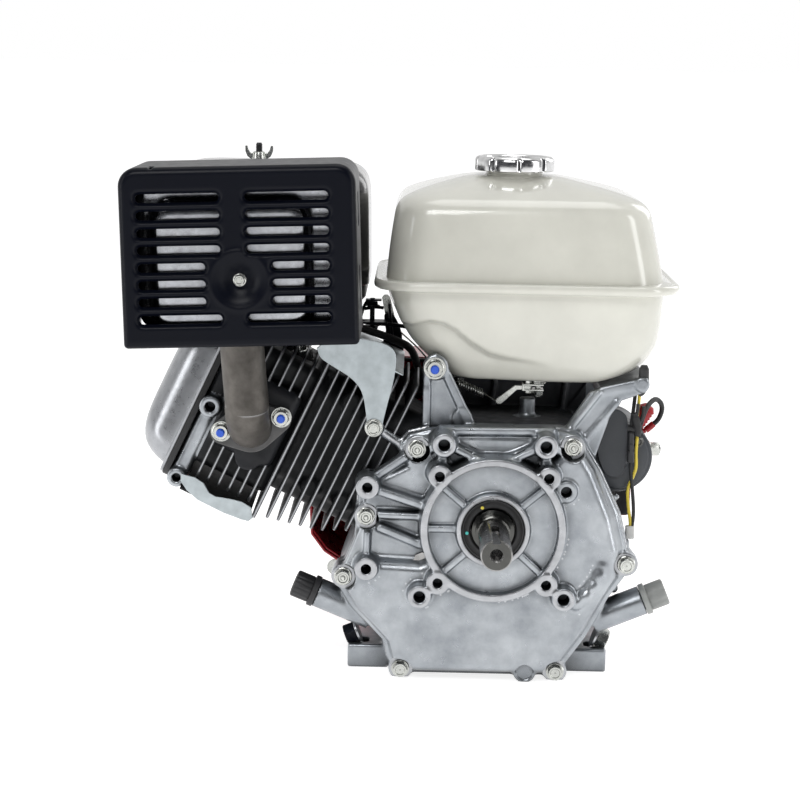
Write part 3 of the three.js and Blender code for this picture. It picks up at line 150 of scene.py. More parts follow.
# ------------------------------------------------------------------ materials
class Nodes:
    def __init__(self, name):
        self.material = bpy.data.materials.new(name)
        self.material.use_nodes = True
        self.tree = self.material.node_tree
        self.shader = self.tree.nodes["Principled BSDF"]
        self.coords = self.tree.nodes.new("ShaderNodeTexCoord").outputs["Object"]

    def make(self, kind, links=(), **values):
        node = self.tree.nodes.new(kind)
        for key, value in values.items():
            if hasattr(node, key):
                setattr(node, key, value)
            else:
                node.inputs[key.replace("_", " ")].default_value = value
        for socket, source in links:
            self.tree.links.new(source, node.inputs[socket])
        return node

    def noise(self, size_mm, detail=3.0, rough=0.55, stretch=None):
        source = self.coords
        if stretch:
            source = self.make("ShaderNodeMapping", [("Vector", source)], Scale=stretch).outputs[0]
        node = self.make("ShaderNodeTexNoise", [("Vector", source)])
        node.inputs["Scale"].default_value = 1000.0 / size_mm
        node.inputs["Detail"].default_value = detail
        node.inputs["Roughness"].default_value = rough
        return node.outputs["Fac"]

    def ramp(self, source, low, high, out_low=0.0, out_high=1.0):
        node = self.make("ShaderNodeMapRange", [("Value", source)])
        node.inputs["From Min"].default_value = low
        node.inputs["From Max"].default_value = high
        node.inputs["To Min"].default_value = out_low
        node.inputs["To Max"].default_value = out_high
        return node.outputs[0]

    def mix(self, factor, first, second):
        node = self.tree.nodes.new("ShaderNodeMix")
        node.data_type = "RGBA"
        for socket, value in ((0, factor), (6, first), (7, second)):
            if isinstance(value, bpy.types.NodeSocket):
                self.tree.links.new(value, node.inputs[socket])
            elif socket == 0:
                node.inputs[0].default_value = value
            else:
                node.inputs[socket].default_value = (*value, 1)
        return node.outputs[2]

    def math(self, operation, first, second):
        node = self.make("ShaderNodeMath", operation=operation)
        for socket, value in ((0, first), (1, second)):
            if isinstance(value, bpy.types.NodeSocket):
                self.tree.links.new(value, node.inputs[socket])
            else:
                node.inputs[socket].default_value = value
        return node.outputs[0]

    def bump(self, height, depth_mm, strength=1.0, below=None):
        node = self.make("ShaderNodeBump", [("Height", height)])
        node.inputs["Strength"].default_value = strength
        node.inputs["Distance"].default_value = depth_mm * MM
        if below is not None:
            self.tree.links.new(below, node.inputs["Normal"])
        return node.outputs[0]

    def hollow(self, reach_mm):
        """0 in open places, 1 deep in corners."""
        node = self.make("ShaderNodeAmbientOcclusion")
        node.samples = 8
        node.inputs["Distance"].default_value = reach_mm * MM
        return self.math("SUBTRACT", 1.0, node.outputs["AO"])

    def edges(self, low=0.53, high=0.62):
        return self.ramp(self.make("ShaderNodeNewGeometry").outputs["Pointiness"], low, high)

    def set(self, **sockets):
        for key, value in sockets.items():
            socket = self.shader.inputs[key.replace("_", " ")]
            if isinstance(value, bpy.types.NodeSocket):
                self.tree.links.new(value, socket)
            elif isinstance(value, tuple):
                socket.default_value = (*value, 1)
            else:
                socket.default_value = value
        return self.material


def cast_metal(name, light, dark, metallic=0.92, rough=(0.3, 0.48), shade_and_grime=0.95, reach=14, wear=0.42):
    n = Nodes(name)
    cloud = n.noise(30, 5, 0.6)
    tone = n.mix(n.ramp(cloud, 0.3, 0.7), dark, light)
    speck = n.ramp(n.noise(2.2, 4, 0.7), 0.62, 0.78)
    tone = n.mix(n.math("MULTIPLY", speck, 0.25), tone, tuple(c * 0.55 for c in dark))
    # darker in corners and hollows by ambient occlusion: painted shade, together with grime
    tone = n.mix(n.math("MULTIPLY", n.ramp(n.hollow(reach), 0.15, 0.75), shade_and_grime), tone, (0.03, 0.032, 0.034))
    tone = n.mix(n.math("MULTIPLY", n.edges(), wear), tone, (0.85, 0.86, 0.88))
    grain = n.bump(n.noise(0.9, 4, 0.65), 0.09, 0.5)
    waves = n.bump(n.noise(14, 2, 0.5), 0.5, 0.3, grain)
    return n.set(
        Base_Color=tone, Metallic=metallic, Normal=waves, Specular_IOR_Level=0.35,
        Roughness=n.ramp(n.noise(12, 4, 0.6), 0.3, 0.7, *rough),
    )


def plain_metal(name, colour, rough=(0.2, 0.34), grain_mm=0.7, depth=0.03, shade_and_grime=0.5, metallic=1.0,
                stretch=None,
                reach=3):
    n = Nodes(name)
    tone = n.mix(n.ramp(n.noise(9, 4), 0.3, 0.7), tuple(c * 0.8 for c in colour), colour)
    # darker in corners and hollows by ambient occlusion: painted shade, together with grime
    tone = n.mix(n.math("MULTIPLY", n.ramp(n.hollow(reach), 0.3, 1.0), shade_and_grime), tone, (0.05, 0.05, 0.055))
    return n.set(
        Base_Color=tone, Metallic=metallic, Normal=n.bump(n.noise(grain_mm, 3, 0.6, stretch), depth, 0.6),
        Roughness=n.ramp(n.noise(5, 4), 0.3, 0.7, *rough),
    )


def painted(name, colour, rough=(0.25, 0.35), coat=0.0, coat_rough=0.08, peel=(2.5, 0.02), wear=None,
            wear_amount=0.5,
            dust=0.15, shine=0.5):
    n = Nodes(name)
    tone = n.mix(n.ramp(n.noise(40, 4), 0.3, 0.7), tuple(c * 0.9 for c in colour), colour)
    tone = n.mix(n.math("MULTIPLY", n.ramp(n.noise(3, 5, 0.7), 0.55, 0.8), dust), tone,
                 tuple(min(1, c * 1.5 + 0.03) for c in colour))
    metallic = 0.0
    if wear:
        mask = n.math("MULTIPLY", n.edges(0.56, 0.6), n.ramp(n.noise(3, 4, 0.7), 0.45, 0.62))
        mask = n.math("MULTIPLY", mask, wear_amount)
        tone = n.mix(mask, tone, wear)
        metallic = mask
    normal = n.bump(n.noise(peel[0], 2, 0.5), peel[1], 0.5)
    return n.set(
        Base_Color=tone, Metallic=metallic, Normal=normal, Coat_Weight=coat, Coat_Roughness=coat_rough,
        Specular_IOR_Level=shine,
        Roughness=n.ramp(n.noise(8, 4), 0.3, 0.7, *rough),
    )


def moulded(name, colour, rough=(0.4, 0.55), grain_mm=0.5, depth=0.04):
    n = Nodes(name)
    tone = n.mix(n.ramp(n.noise(14, 4), 0.3, 0.7), tuple(c * 0.75 for c in colour), colour)
    tone = n.mix(n.math("MULTIPLY", n.edges(), 0.35), tone, tuple(min(1, c * 2 + 0.05) for c in colour))
    return n.set(
        Base_Color=tone, Normal=n.bump(n.noise(grain_mm, 2, 0.6), depth, 0.5),
        Roughness=n.ramp(n.noise(6, 4), 0.3, 0.7, *rough),
    )


CAST = cast_metal("cast_aluminium", (0.49, 0.515, 0.54), (0.285, 0.305, 0.33), rough=(0.25, 0.4))
# reaches 24 mm into the hollows, so the rough casting darkens widely there: painted shade
CAST_ROUGH = cast_metal("cast_aluminium_rough", (0.46, 0.485, 0.51), (0.27, 0.29, 0.315), rough=(0.28, 0.44),
                        shade_and_grime=0.85, reach=24)
# a near-black copy of the casting for the crankcase's top between the leg and the arm: painted shade
CAST_IN_PAINTED_SHADE = cast_metal("cast_aluminium_painted_shade", (0.085, 0.088, 0.095), (0.03, 0.032, 0.036), 0.6, (0.4, 0.6),
                       0.9, 24,
                       0.3)
MACHINED = plain_metal("machined_aluminium", (0.50, 0.51, 0.53), (0.26, 0.36), 0.5, 0.04, 0.3)
STEEL = plain_metal("turned_steel", (0.36, 0.355, 0.35), (0.16, 0.28), 0.35, 0.02, stretch=(0.05, 1, 0.05))
DARK_STEEL = plain_metal("oiled_steel", (0.10, 0.10, 0.095), (0.14, 0.24), 0.5, 0.03)
ZINC = plain_metal("zinc_plate", (0.60, 0.61, 0.58), (0.18, 0.32), 0.8, 0.05)
FIN_BLACK = cast_metal("black_casting", (0.011, 0.012, 0.016), (0.003, 0.0035, 0.005), 0.05, (0.4, 0.58),
                       0.7, 14,
                       0.1)
FIN_EDGE = plain_metal("fin_edge", (0.42, 0.43, 0.45), (0.3, 0.45), 1.2, 0.08)
BLACK_PAINT = painted("black_paint", (0.0018, 0.0026, 0.0065), (0.3, 0.38), 0.0, 0.2, (6, 0.012),
                      (0.10, 0.11, 0.14),
                      0.2, 0.02, 0.14)
# reaches 30 mm, so the can darkens deep behind the guard: painted shade
ALUMINISED = plain_metal("aluminised", (0.74, 0.76, 0.80), (0.16, 0.26), 9, 0.02, 1.0, reach=30)
PIPE_STEEL = cast_metal("exhaust_steel", (0.20, 0.185, 0.17), (0.085, 0.078, 0.07), 0.75, (0.4, 0.6), 0.7)
FLANGE_STEEL = cast_metal("flange_steel", (0.09, 0.085, 0.08), (0.03, 0.03, 0.03), 0.7, (0.4, 0.6), 0.7)
PLATED = plain_metal("plated_sheet", (0.50, 0.55, 0.57), (0.28, 0.4), 6, 0.03, 0.2)
PRESSED = plain_metal("pressed_cover", (0.42, 0.43, 0.45), (0.26, 0.33), 8, 0.012, 0.0)
PLASTIC = moulded("black_plastic", (0.022, 0.022, 0.024))
GREY_PLASTIC = moulded("grey_plastic", (0.30, 0.31, 0.30))
GLOSS_BLACK = painted("gloss_black", (0.014, 0.014, 0.016), (0.2, 0.28), 0.6, 0.06, (5, 0.02), None, 0, 0.1)
PAPER = moulded("filter_paper", (0.62, 0.55, 0.38), (0.8, 0.9), 0.3, 0.05)
TANK_PAINT = painted("tank_paint", (0.69, 0.685, 0.615), (0.2, 0.26), 0.7, 0.05, (4.5, 0.012), None, 0, 0.04)
CHROME = plain_metal("cap_chrome", (0.80, 0.80, 0.80), (0.12, 0.2), 3, 0.01, 0.3)
RED_PAINT = painted("red_paint", (0.42, 0.012, 0.02), (0.25, 0.32), 0.5, 0.08, (3, 0.02), (0.4, 0.38, 0.36),
                    0.3,
                    0.05)
STARTER_PAINT = painted("starter_paint", (0.045, 0.05, 0.058), (0.38, 0.5), 0.1, 0.2, (1.2, 0.05),
                        (0.4, 0.4, 0.42),
                        0.4)
RUBBER = moulded("rubber", (0.016, 0.016, 0.017), (0.55, 0.7), 0.7, 0.06)
BLUE = painted("blue_marker", (0.02, 0.10, 0.62), (0.35, 0.45), 0.2, 0.2, (1.0, 0.05))
YELLOW = moulded("yellow_wire", (0.72, 0.55, 0.05), (0.35, 0.45))
WHITE_PLASTIC = moulded("white_plastic", (0.7, 0.7, 0.68), (0.35, 0.45))
RED_RUBBER = moulded("red_rubber", (0.42, 0.01, 0.015), (0.38, 0.5))
# near-black for the fan cover's inside and rim and for the sheet under the head: painted shade
PAINTED_SHADE_BLACK = moulded("painted_shade_inside", (0.004, 0.004, 0.005), (0.7, 0.8))


# ------------------------------------------------------------------ meshes
class Shape:
    """Vertices in millimetres, faces, and a material index for each face."""

    def __init__(self, verts, faces, slot=0):
        self.verts = np.asarray(verts, float).reshape(-1, 3)
        self.faces = [tuple(f) for f in faces]
        self.slots = [slot] * len(self.faces) if isinstance(slot, int) else list(slot)

    def moved(self, x=0, y=0, z=0):
        return Shape(self.verts + [x, y, z], self.faces, self.slots)

    def turned(self, matrix):
        m = np.array(matrix.to_3x3())
        return Shape(self.verts @ m.T, self.faces, self.slots)

    def facing(self, direction):
        """Turns a shape made to face -Y so that it faces the direction."""
        turn = Vector((0, -1, 0)).rotation_difference(Vector(direction).normalized()).to_matrix()
        return self.turned(turn)

    def spun(self, degrees, axis="Y"):
        return self.turned(Matrix.Rotation(math.radians(degrees), 3, axis))


def merge(*shapes):
    verts, faces, slots, base = [], [], [], 0
    for s in shapes:
        verts.append(s.verts)
        faces += [tuple(i + base for i in f) for f in s.faces]
        slots += s.slots
        base += len(s.verts)
    return Shape(np.concatenate(verts), faces, slots)


def face_middles(shape):
    return np.array([shape.verts[list(f)].mean(0) for f in shape.faces])


def strip(rings, closed_rings=True, caps=(True, True)):
    """Skins a list of rings of equal length."""
    count = len(rings[0])
    verts = np.concatenate([np.asarray(r, float) for r in rings])
    faces = []
    for k in range(len(rings) - 1):
        for i in range(count if closed_rings else count - 1):
            j = (i + 1) % count
            faces.append((k * count + i, k * count + j, (k + 1) * count + j, (k + 1) * count + i))
    if caps[0]:
        faces.append(tuple(reversed(range(count))))
    if caps[1]:
        faces.append(tuple(range((len(rings) - 1) * count, len(rings) * count)))
    return Shape(verts, faces)


def lathe(profile, segments=48):
    """Spins [radius, y] pairs about the Y axis. A radius of 0 at an end closes it."""
    angles = np.arange(segments) * 2 * math.pi / segments
    rings = [np.stack([r * np.cos(angles), np.full(segments, y), r * np.sin(angles)], 1) for r, y in profile]
    return strip(rings, True, (profile[0][0] > 0.01, profile[-1][0] > 0.01))


def ring_of(radius, y, segments):
    """A ring about the Y axis. radius is a number, or gives the radius at an angle."""
    angles = np.arange(segments) * 2 * math.pi / segments
    r = np.array([radius(a) if callable(radius) else radius for a in angles])
    return np.stack([r * np.cos(angles), np.full(segments, y), r * np.sin(angles)], 1)


def hexagon(across, turn=0.0):
    """The radius of a hexagon at an angle, from its width across the flats."""
    def radius(angle):
        a = (angle - turn + math.pi / 6) % (math.pi / 3) - math.pi / 6
        return across / 2 / math.cos(a)
    return radius


def hex_head(across, height, turn=0.3, washer=0.0, washer_thick=0.0, dish=(0.6, 0.9), segments=36):
    """A hexagonal head that faces -Y, standing on y = 0, with a flange and a dished end."""
    h = hexagon(across, turn)
    rim = across / 2 * 1.04
    rows = []
    if washer:
        rows += [(washer - 0.3, 0), (washer, -0.4), (washer, -washer_thick + 0.3),
                 (washer - 0.5, -washer_thick)]
    rows += [(h, -washer_thick), (h, -height + 0.9), (lambda a: min(h(a), rim), -height + 0.5),
             (rim * 0.93, -height)]
    if dish[1]:
        end = -height + dish[1]
        rows += [(rim * dish[0] + 0.6, -height), (rim * dish[0], end), (0.3, end)]
    return strip([ring_of(radius, y, segments) for radius, y in rows])


def stud_end(radius, length, tip=0.8):
    """A threaded end that faces -Y, from y = 0."""
    rings = []
    pitch = 1.25
    for k in range(int(length / pitch * 2)):
        r = radius if k % 2 else radius - 0.45
        rings.append(ring_of(r, -k * pitch / 2, 20))
    rings.append(ring_of(radius - tip, -length - 0.2, 20))
    return strip(rings)


def washer(outer, inner, thick):
    return lathe([(inner, 0), (outer - 0.2, 0), (outer, -0.2), (outer, -thick + 0.2), (outer - 0.2, -thick),
                  (inner, -thick)], 36)


def smooth_path(points, count):
    """A Catmull-Rom curve through the points."""
    p = np.asarray(points, float)
    p = np.concatenate([[2 * p[0] - p[1]], p, [2 * p[-1] - p[-2]]])
    out = []
    spans = len(p) - 3
    for t in np.linspace(0, spans, count):
        i = min(int(t), spans - 1)
        f = t - i
        a, b, c, d = p[i], p[i + 1], p[i + 2], p[i + 3]
        out.append(0.5 * (2 * b + (c - a) * f + (2 * a - 5 * b + 4 * c - d) * f * f
                          + (3 * b - a - 3 * c + d) * f**3))
    return np.array(out)


def tube(points, radius, sides=12, count=None, ends=True):
    """A round tube along a smooth curve. radius may be a list, one for each point on the curve."""
    path = smooth_path(points, count) if count else np.asarray(points, float)
    radii = np.broadcast_to(np.asarray(radius, float), (len(path),))
    tangents = np.gradient(path, axis=0)
    tangents /= np.linalg.norm(tangents, axis=1)[:, None]
    side = np.cross(tangents[0], [0.3, 0.5, 0.81])
    rings = []
    for p, t, r in zip(path, tangents, radii):
        side = side - t * side.dot(t)
        side /= np.linalg.norm(side)
        other = np.cross(t, side)
        angles = np.arange(sides) * 2 * math.pi / sides
        rings.append(p + r * (np.outer(np.cos(angles), side) + np.outer(np.sin(angles), other)))
    return strip(rings, True, (ends, ends))


def rounded(width, height, radius, steps=6, cx=0.0, cz=0.0):
    """A rounded rectangle's outline."""
    out = []
    for sx, sz, start in ((1, -1, -90), (1, 1, 0), (-1, 1, 90), (-1, -1, 180)):
        for i in range(steps + 1):
            a = math.radians(start + 90 * i / steps)
            out.append((cx + sx * (width / 2 - radius) + radius * math.cos(a),
                        cz + sz * (height / 2 - radius) + radius * math.sin(a)))
    return out


def prism(outline, y0, y1):
    """An outline in X and Z, thickened along Y."""
    o = np.asarray(outline, float)
    rings = [np.stack([o[:, 0], np.full(len(o), y), o[:, 1]], 1) for y in (y0, y1)]
    return strip(rings)


def box(x0, x1, y0, y1, z0, z1):
    return prism([(x0, z0), (x1, z0), (x1, z1), (x0, z1)], y0, y1)


def loft(sections, steps=8, hoop=False):
    """Rounded rectangles stacked along Z: [z, x0, x1, y0, y1, radius].

    A hoop joins its last one to its first.
    """
    rings = []
    for z, x0, x1, y0, y1, r in sections:
        flat = np.array(rounded(x1 - x0, y1 - y0, r, steps, (x0 + x1) / 2, (y0 + y1) / 2))
        rings.append(np.stack([flat[:, 0], flat[:, 1], np.full(len(flat), z)], 1))
    if not hoop:
        return strip(rings)
    open_hoop, count = strip(rings, caps=(False, False)), len(rings[0])
    last = count * (len(rings) - 1)
    return Shape(open_hoop.verts, list(open_hoop.faces) + [
        (last + i, last + (i + 1) % count, (i + 1) % count, i) for i in range(count)])


BEVEL_ANGLE = 32.0  # degrees; only sharper edges get the bevel


def piece(name, shape, materials, body=BLOCK, place=ENGINE, bevel=0.0, segments=2, subdivide=0, replaces=(),
          slot=None, sharp=35.0):
    """Makes the shape an object that rides on a CAD body."""
    matrix = np.array(place)
    verts = shape.verts @ matrix[:3, :3].T + matrix[:3, 3]
    mesh = bpy.data.meshes.new(name)
    mesh.from_pydata(verts.tolist(), [], shape.faces)
    for m in materials if isinstance(materials, (list, tuple)) else [materials]:
        mesh.materials.append(m)
    mesh.polygons.foreach_set("material_index", shape.slots)
    mesh.validate()
    bm = bmesh.new()
    bm.from_mesh(mesh)
    bmesh.ops.recalc_face_normals(bm, faces=bm.faces)
    bm.to_mesh(mesh)
    bm.free()
    mesh.shade_smooth()
    obj = bpy.data.objects.new(name, mesh)
    bpy.context.scene.collection.objects.link(obj)
    if subdivide:
        m = obj.modifiers.new("subdivide", "SUBSURF")
        m.levels = m.render_levels = subdivide
    elif bevel:
        m = obj.modifiers.new("bevel", "BEVEL")
        m.width = bevel * MM
        m.segments = segments
        m.limit_method = "ANGLE"
        m.angle_limit = math.radians(BEVEL_ANGLE)
        m.harden_normals = True
    else:
        mesh.set_sharp_from_angle(angle=math.radians(sharp))
    if body:
        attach(obj, body)
    for node in replaces:
        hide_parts(node)
    return obj


def fastener(name, *shapes, paint=ZINC, **options):
    """A nut, bolt, stud or rod, with hard edges."""
    piece(name, merge(*shapes), paint, slot="zinc_steel", sharp=28, **options)


def boolean(obj, tool_shape):
    """Cuts a closed shape out of an object, and applies the cut."""
    matrix = np.array(ENGINE)
    verts = tool_shape.verts @ matrix[:3, :3].T + matrix[:3, 3]
    mesh = bpy.data.meshes.new("tool")
    mesh.from_pydata(verts.tolist(), [], tool_shape.faces)
    bm = bmesh.new()
    bm.from_mesh(mesh)
    bmesh.ops.recalc_face_normals(bm, faces=bm.faces)
    bm.to_mesh(mesh)
    bm.free()
    tool = bpy.data.objects.new("tool", mesh)
    bpy.context.scene.collection.objects.link(tool)
    m = obj.modifiers.new("cut", "BOOLEAN")
    m.operation = "DIFFERENCE"
    m.solver = "EXACT"
    m.object = tool
    while obj.modifiers[0] != m:
        bpy.context.view_layer.objects.active = obj
        with bpy.context.temp_override(object=obj):
            bpy.ops.object.modifier_move_up(modifier=m.name)
    with bpy.context.temp_override(object=obj, active_object=obj, selected_objects=[obj]):
        bpy.ops.object.modifier_apply(modifier=m.name)
    bpy.data.objects.remove(tool)
    return obj


# ------------------------------------------------------------------ castings as distance fields
def edge_distance(outline, x, z):
    """Signed distance to a closed outline in the XZ plane, negative inside."""
    o = np.asarray(outline, float)
    best = np.full(np.broadcast(x, z).shape, 1e9)
    inside = np.zeros(best.shape, bool)
    for (ax, az), (bx, bz) in zip(o, np.roll(o, -1, axis=0)):
        ex, ez = bx - ax, bz - az
        t = np.clip(((x - ax) * ex + (z - az) * ez) / (ex * ex + ez * ez), 0, 1)
        best = np.minimum(best, (x - ax - t * ex) ** 2 + (z - az - t * ez) ** 2)
        if az != bz:
            crosses = ((az > z) != (bz > z)) & (x < ex * (z - az) / ez + ax)
            inside ^= crosses
    return np.where(inside, -np.sqrt(best), np.sqrt(best))


class Cast:
    """A casting on a grid of distances, so that its joints are filleted and its edges rounded."""

    def __init__(self, lo, hi, pitch):
        self.h = pitch
        self.lo = np.array(lo, float) - 4 * pitch
        self.n = np.ceil((np.array(hi) + 4 * pitch - self.lo) / pitch).astype(int) + 1
        self.d = np.full(tuple(self.n), 40.0, np.float32)

    def window(self, lo, hi, pad):
        lo = np.maximum(np.floor((np.array(lo) - pad - self.lo) / self.h).astype(int), 0)
        hi = np.minimum(np.ceil((np.array(hi) + pad - self.lo) / self.h).astype(int) + 1, self.n)
        hi = np.maximum(hi, lo)
        cut = tuple(slice(a, b) for a, b in zip(lo, hi))
        axes = [self.lo[i] + self.h * np.arange(lo[i], hi[i]) for i in range(3)]
        return cut, axes[0][:, None, None], axes[1][None, :, None], axes[2][None, None, :]

    def apply(self, field, lo, hi, blend, sign):
        cut, x, y, z = self.window(lo, hi, blend + 4 * self.h)
        old = self.d[cut]
        new = field(x, y, z).astype(np.float32)
        if sign < 0:
            old = -old
        if blend:
            h = np.clip(blend - np.abs(old - new), 0, None) / blend
            result = np.minimum(old, new) - h * h * blend / 4
        else:
            result = np.minimum(old, new)
        self.d[cut] = result if sign > 0 else -result

    def add(self, shape, blend=2.5):
        self.apply(*shape, blend, 1)

    def cut(self, shape, blend=0.8):
        self.apply(*shape, blend, -1)

    def shape(self):
        band = 3 * self.h
        grid = openvdb.FloatGrid(band)
        grid.copyFromArray(np.clip(self.d, -band, band).astype(np.float32))
        points, quads = grid.convertToQuads(0.0)
        verts = np.asarray(points) * self.h + self.lo
        return Shape(verts, [tuple(q) for q in np.asarray(quads).tolist()])


def f_prism(outline, y0, y1, rounding=1.0, draft=0.0):
    """An outline thickened along Y. draft widens it by that much per millimetre towards y1."""
    o = np.asarray(outline, float)
    grow = max(0.0, draft * (y1 - y0))

    def field(x, y, z):
        q = edge_distance(o, x, z) + rounding - draft * (y - y0)
        w = np.abs(y - (y0 + y1) / 2) - (y1 - y0) / 2 + rounding
        return np.minimum(np.maximum(q, w), 0) + np.hypot(np.maximum(q, 0), np.maximum(w, 0)) - rounding
    return field, (o[:, 0].min() - grow, y0, o[:, 1].min() - grow), (o[:, 0].max() + grow, y1,
        o[:, 1].max() + grow)


def f_round(x0, z0, radius, y0, y1, rounding=0.8, draft=0.0):
    """A round boss or hole along Y."""
    def field(x, y, z):
        q = np.hypot(x - x0, z - z0) - radius + rounding - draft * (y - y0)
        w = np.abs(y - (y0 + y1) / 2) - (y1 - y0) / 2 + rounding
        return np.minimum(np.maximum(q, w), 0) + np.hypot(np.maximum(q, 0), np.maximum(w, 0)) - rounding
    r = radius + max(0, draft * (y1 - y0))
    return field, (x0 - r, y0, z0 - r), (x0 + r, y1, z0 + r)


def f_bar(a, b, ra, rb=None, flat_ends=False):
    """A bar with round ends from a to b, or a cone, or a flat-ended bar."""
    a, b = np.array(a, float), np.array(b, float)
    rb = ra if rb is None else rb
    along = b - a
    length = np.linalg.norm(along)

    def field(x, y, z):
        px, py, pz = x - a[0], y - a[1], z - a[2]
        t = (px * along[0] + py * along[1] + pz * along[2]) / length**2
        c = np.clip(t, 0, 1)
        if flat_ends:
            away = np.sqrt((px - t * along[0]) ** 2 + (py - t * along[1]) ** 2 + (pz - t * along[2]) ** 2)
            return np.maximum(away - (ra + (rb - ra) * c), (np.abs(t - 0.5) - 0.5) * length)
        away = np.sqrt((px - c * along[0]) ** 2 + (py - c * along[1]) ** 2 + (pz - c * along[2]) ** 2)
        return away - (ra + (rb - ra) * c)
    r = max(ra, rb)
    return field, np.minimum(a, b) - r, np.maximum(a, b) + r


def f_box(x0, x1, y0, y1, z0, z1, rounding=1.0):
    def field(x, y, z):
        q = [np.abs(c - (p + s) / 2) - (s - p) / 2 + rounding for c, p,
             s in ((x, x0, x1), (y, y0, y1), (z, z0, z1))]
        outside = np.sqrt(sum(np.maximum(c, 0) ** 2 for c in q))
        return outside + np.minimum(np.maximum(np.maximum(q[0], q[1]), q[2]), 0) - rounding
    return field, (x0, y0, z0), (x1, y1, z1)


def f_wall(a, b, width, y0, y1, rounding=1.2):
    """A straight wall or rib in the XZ plane, from (x, z) to (x, z)."""
    (ax, az), (bx, bz) = a, b
    length = math.hypot(bx - ax, bz - az)
    ux, uz = (bx - ax) / length, (bz - az) / length

    def field(x, y, z):
        along = (x - ax) * ux + (z - az) * uz - length / 2
        across = (x - ax) * -uz + (z - az) * ux
        q = [np.abs(along) - length / 2 + rounding, np.abs(across) - width / 2 + rounding,
             np.abs(y - (y0 + y1) / 2) - (y1 - y0) / 2 + rounding]
        outside = np.sqrt(sum(np.maximum(c, 0) ** 2 for c in q))
        return outside + np.minimum(np.maximum(np.maximum(q[0], q[1]), q[2]), 0) - rounding
    w = width
    return field, (min(ax, bx) - w, y0, min(az, bz) - w), (max(ax, bx) + w, y1, max(az, bz) + w)


def on_circle(diameter, degrees):
    a = math.radians(degrees)
    return diameter / 2 * math.cos(a), diameter / 2 * math.sin(a)


CASE_OUTLINE = [
    (-80, 66), (-72, 76), (-52, 81), (56, 81), (72, 77), (79, 64), (91, 45), (108, 9),
    (115, -20), (113, -45), (101, -62), (82, -98), (67, -119), (53, -131.5), (-77, -131.5),
    (-87, -119), (-90.5, -104), (-118, -75), (-130, -56), (-126, -44), (-115, -15),
    (-114, 28), (-107, 37), (-78, 52),
]
COVER_BOLTS = [(-64, 63), (65.5, 67), (-105.5, 5), (-124, -47), (113, -32), (-74.5, -125.5), (56, -125.5)]
MOUNT_BOSSES = [on_circle(165.1, a) for a in (59.5, 120.5, 223.6, 316.4)]
SIDE_BOSSES = [(-104.5, 33), (-104.5, -36)]
RING_HOLES = [on_circle(127, a) for a in (45, 135, 225, 315)]
COVER_WALL = [
    (-108, -31), (-60, -33), (-30, -20), (0, 20), (40, 50), (60, 66), (72, 64), (82, 48), (98, 10),
    (105, -18),
    (103, -42), (92, -60), (73, -94), (58, -115), (48, -124), (-70, -124), (-80, -114), (-84, -100),
    (-110, -72),
    (-120, -56), (-116, -42),
]


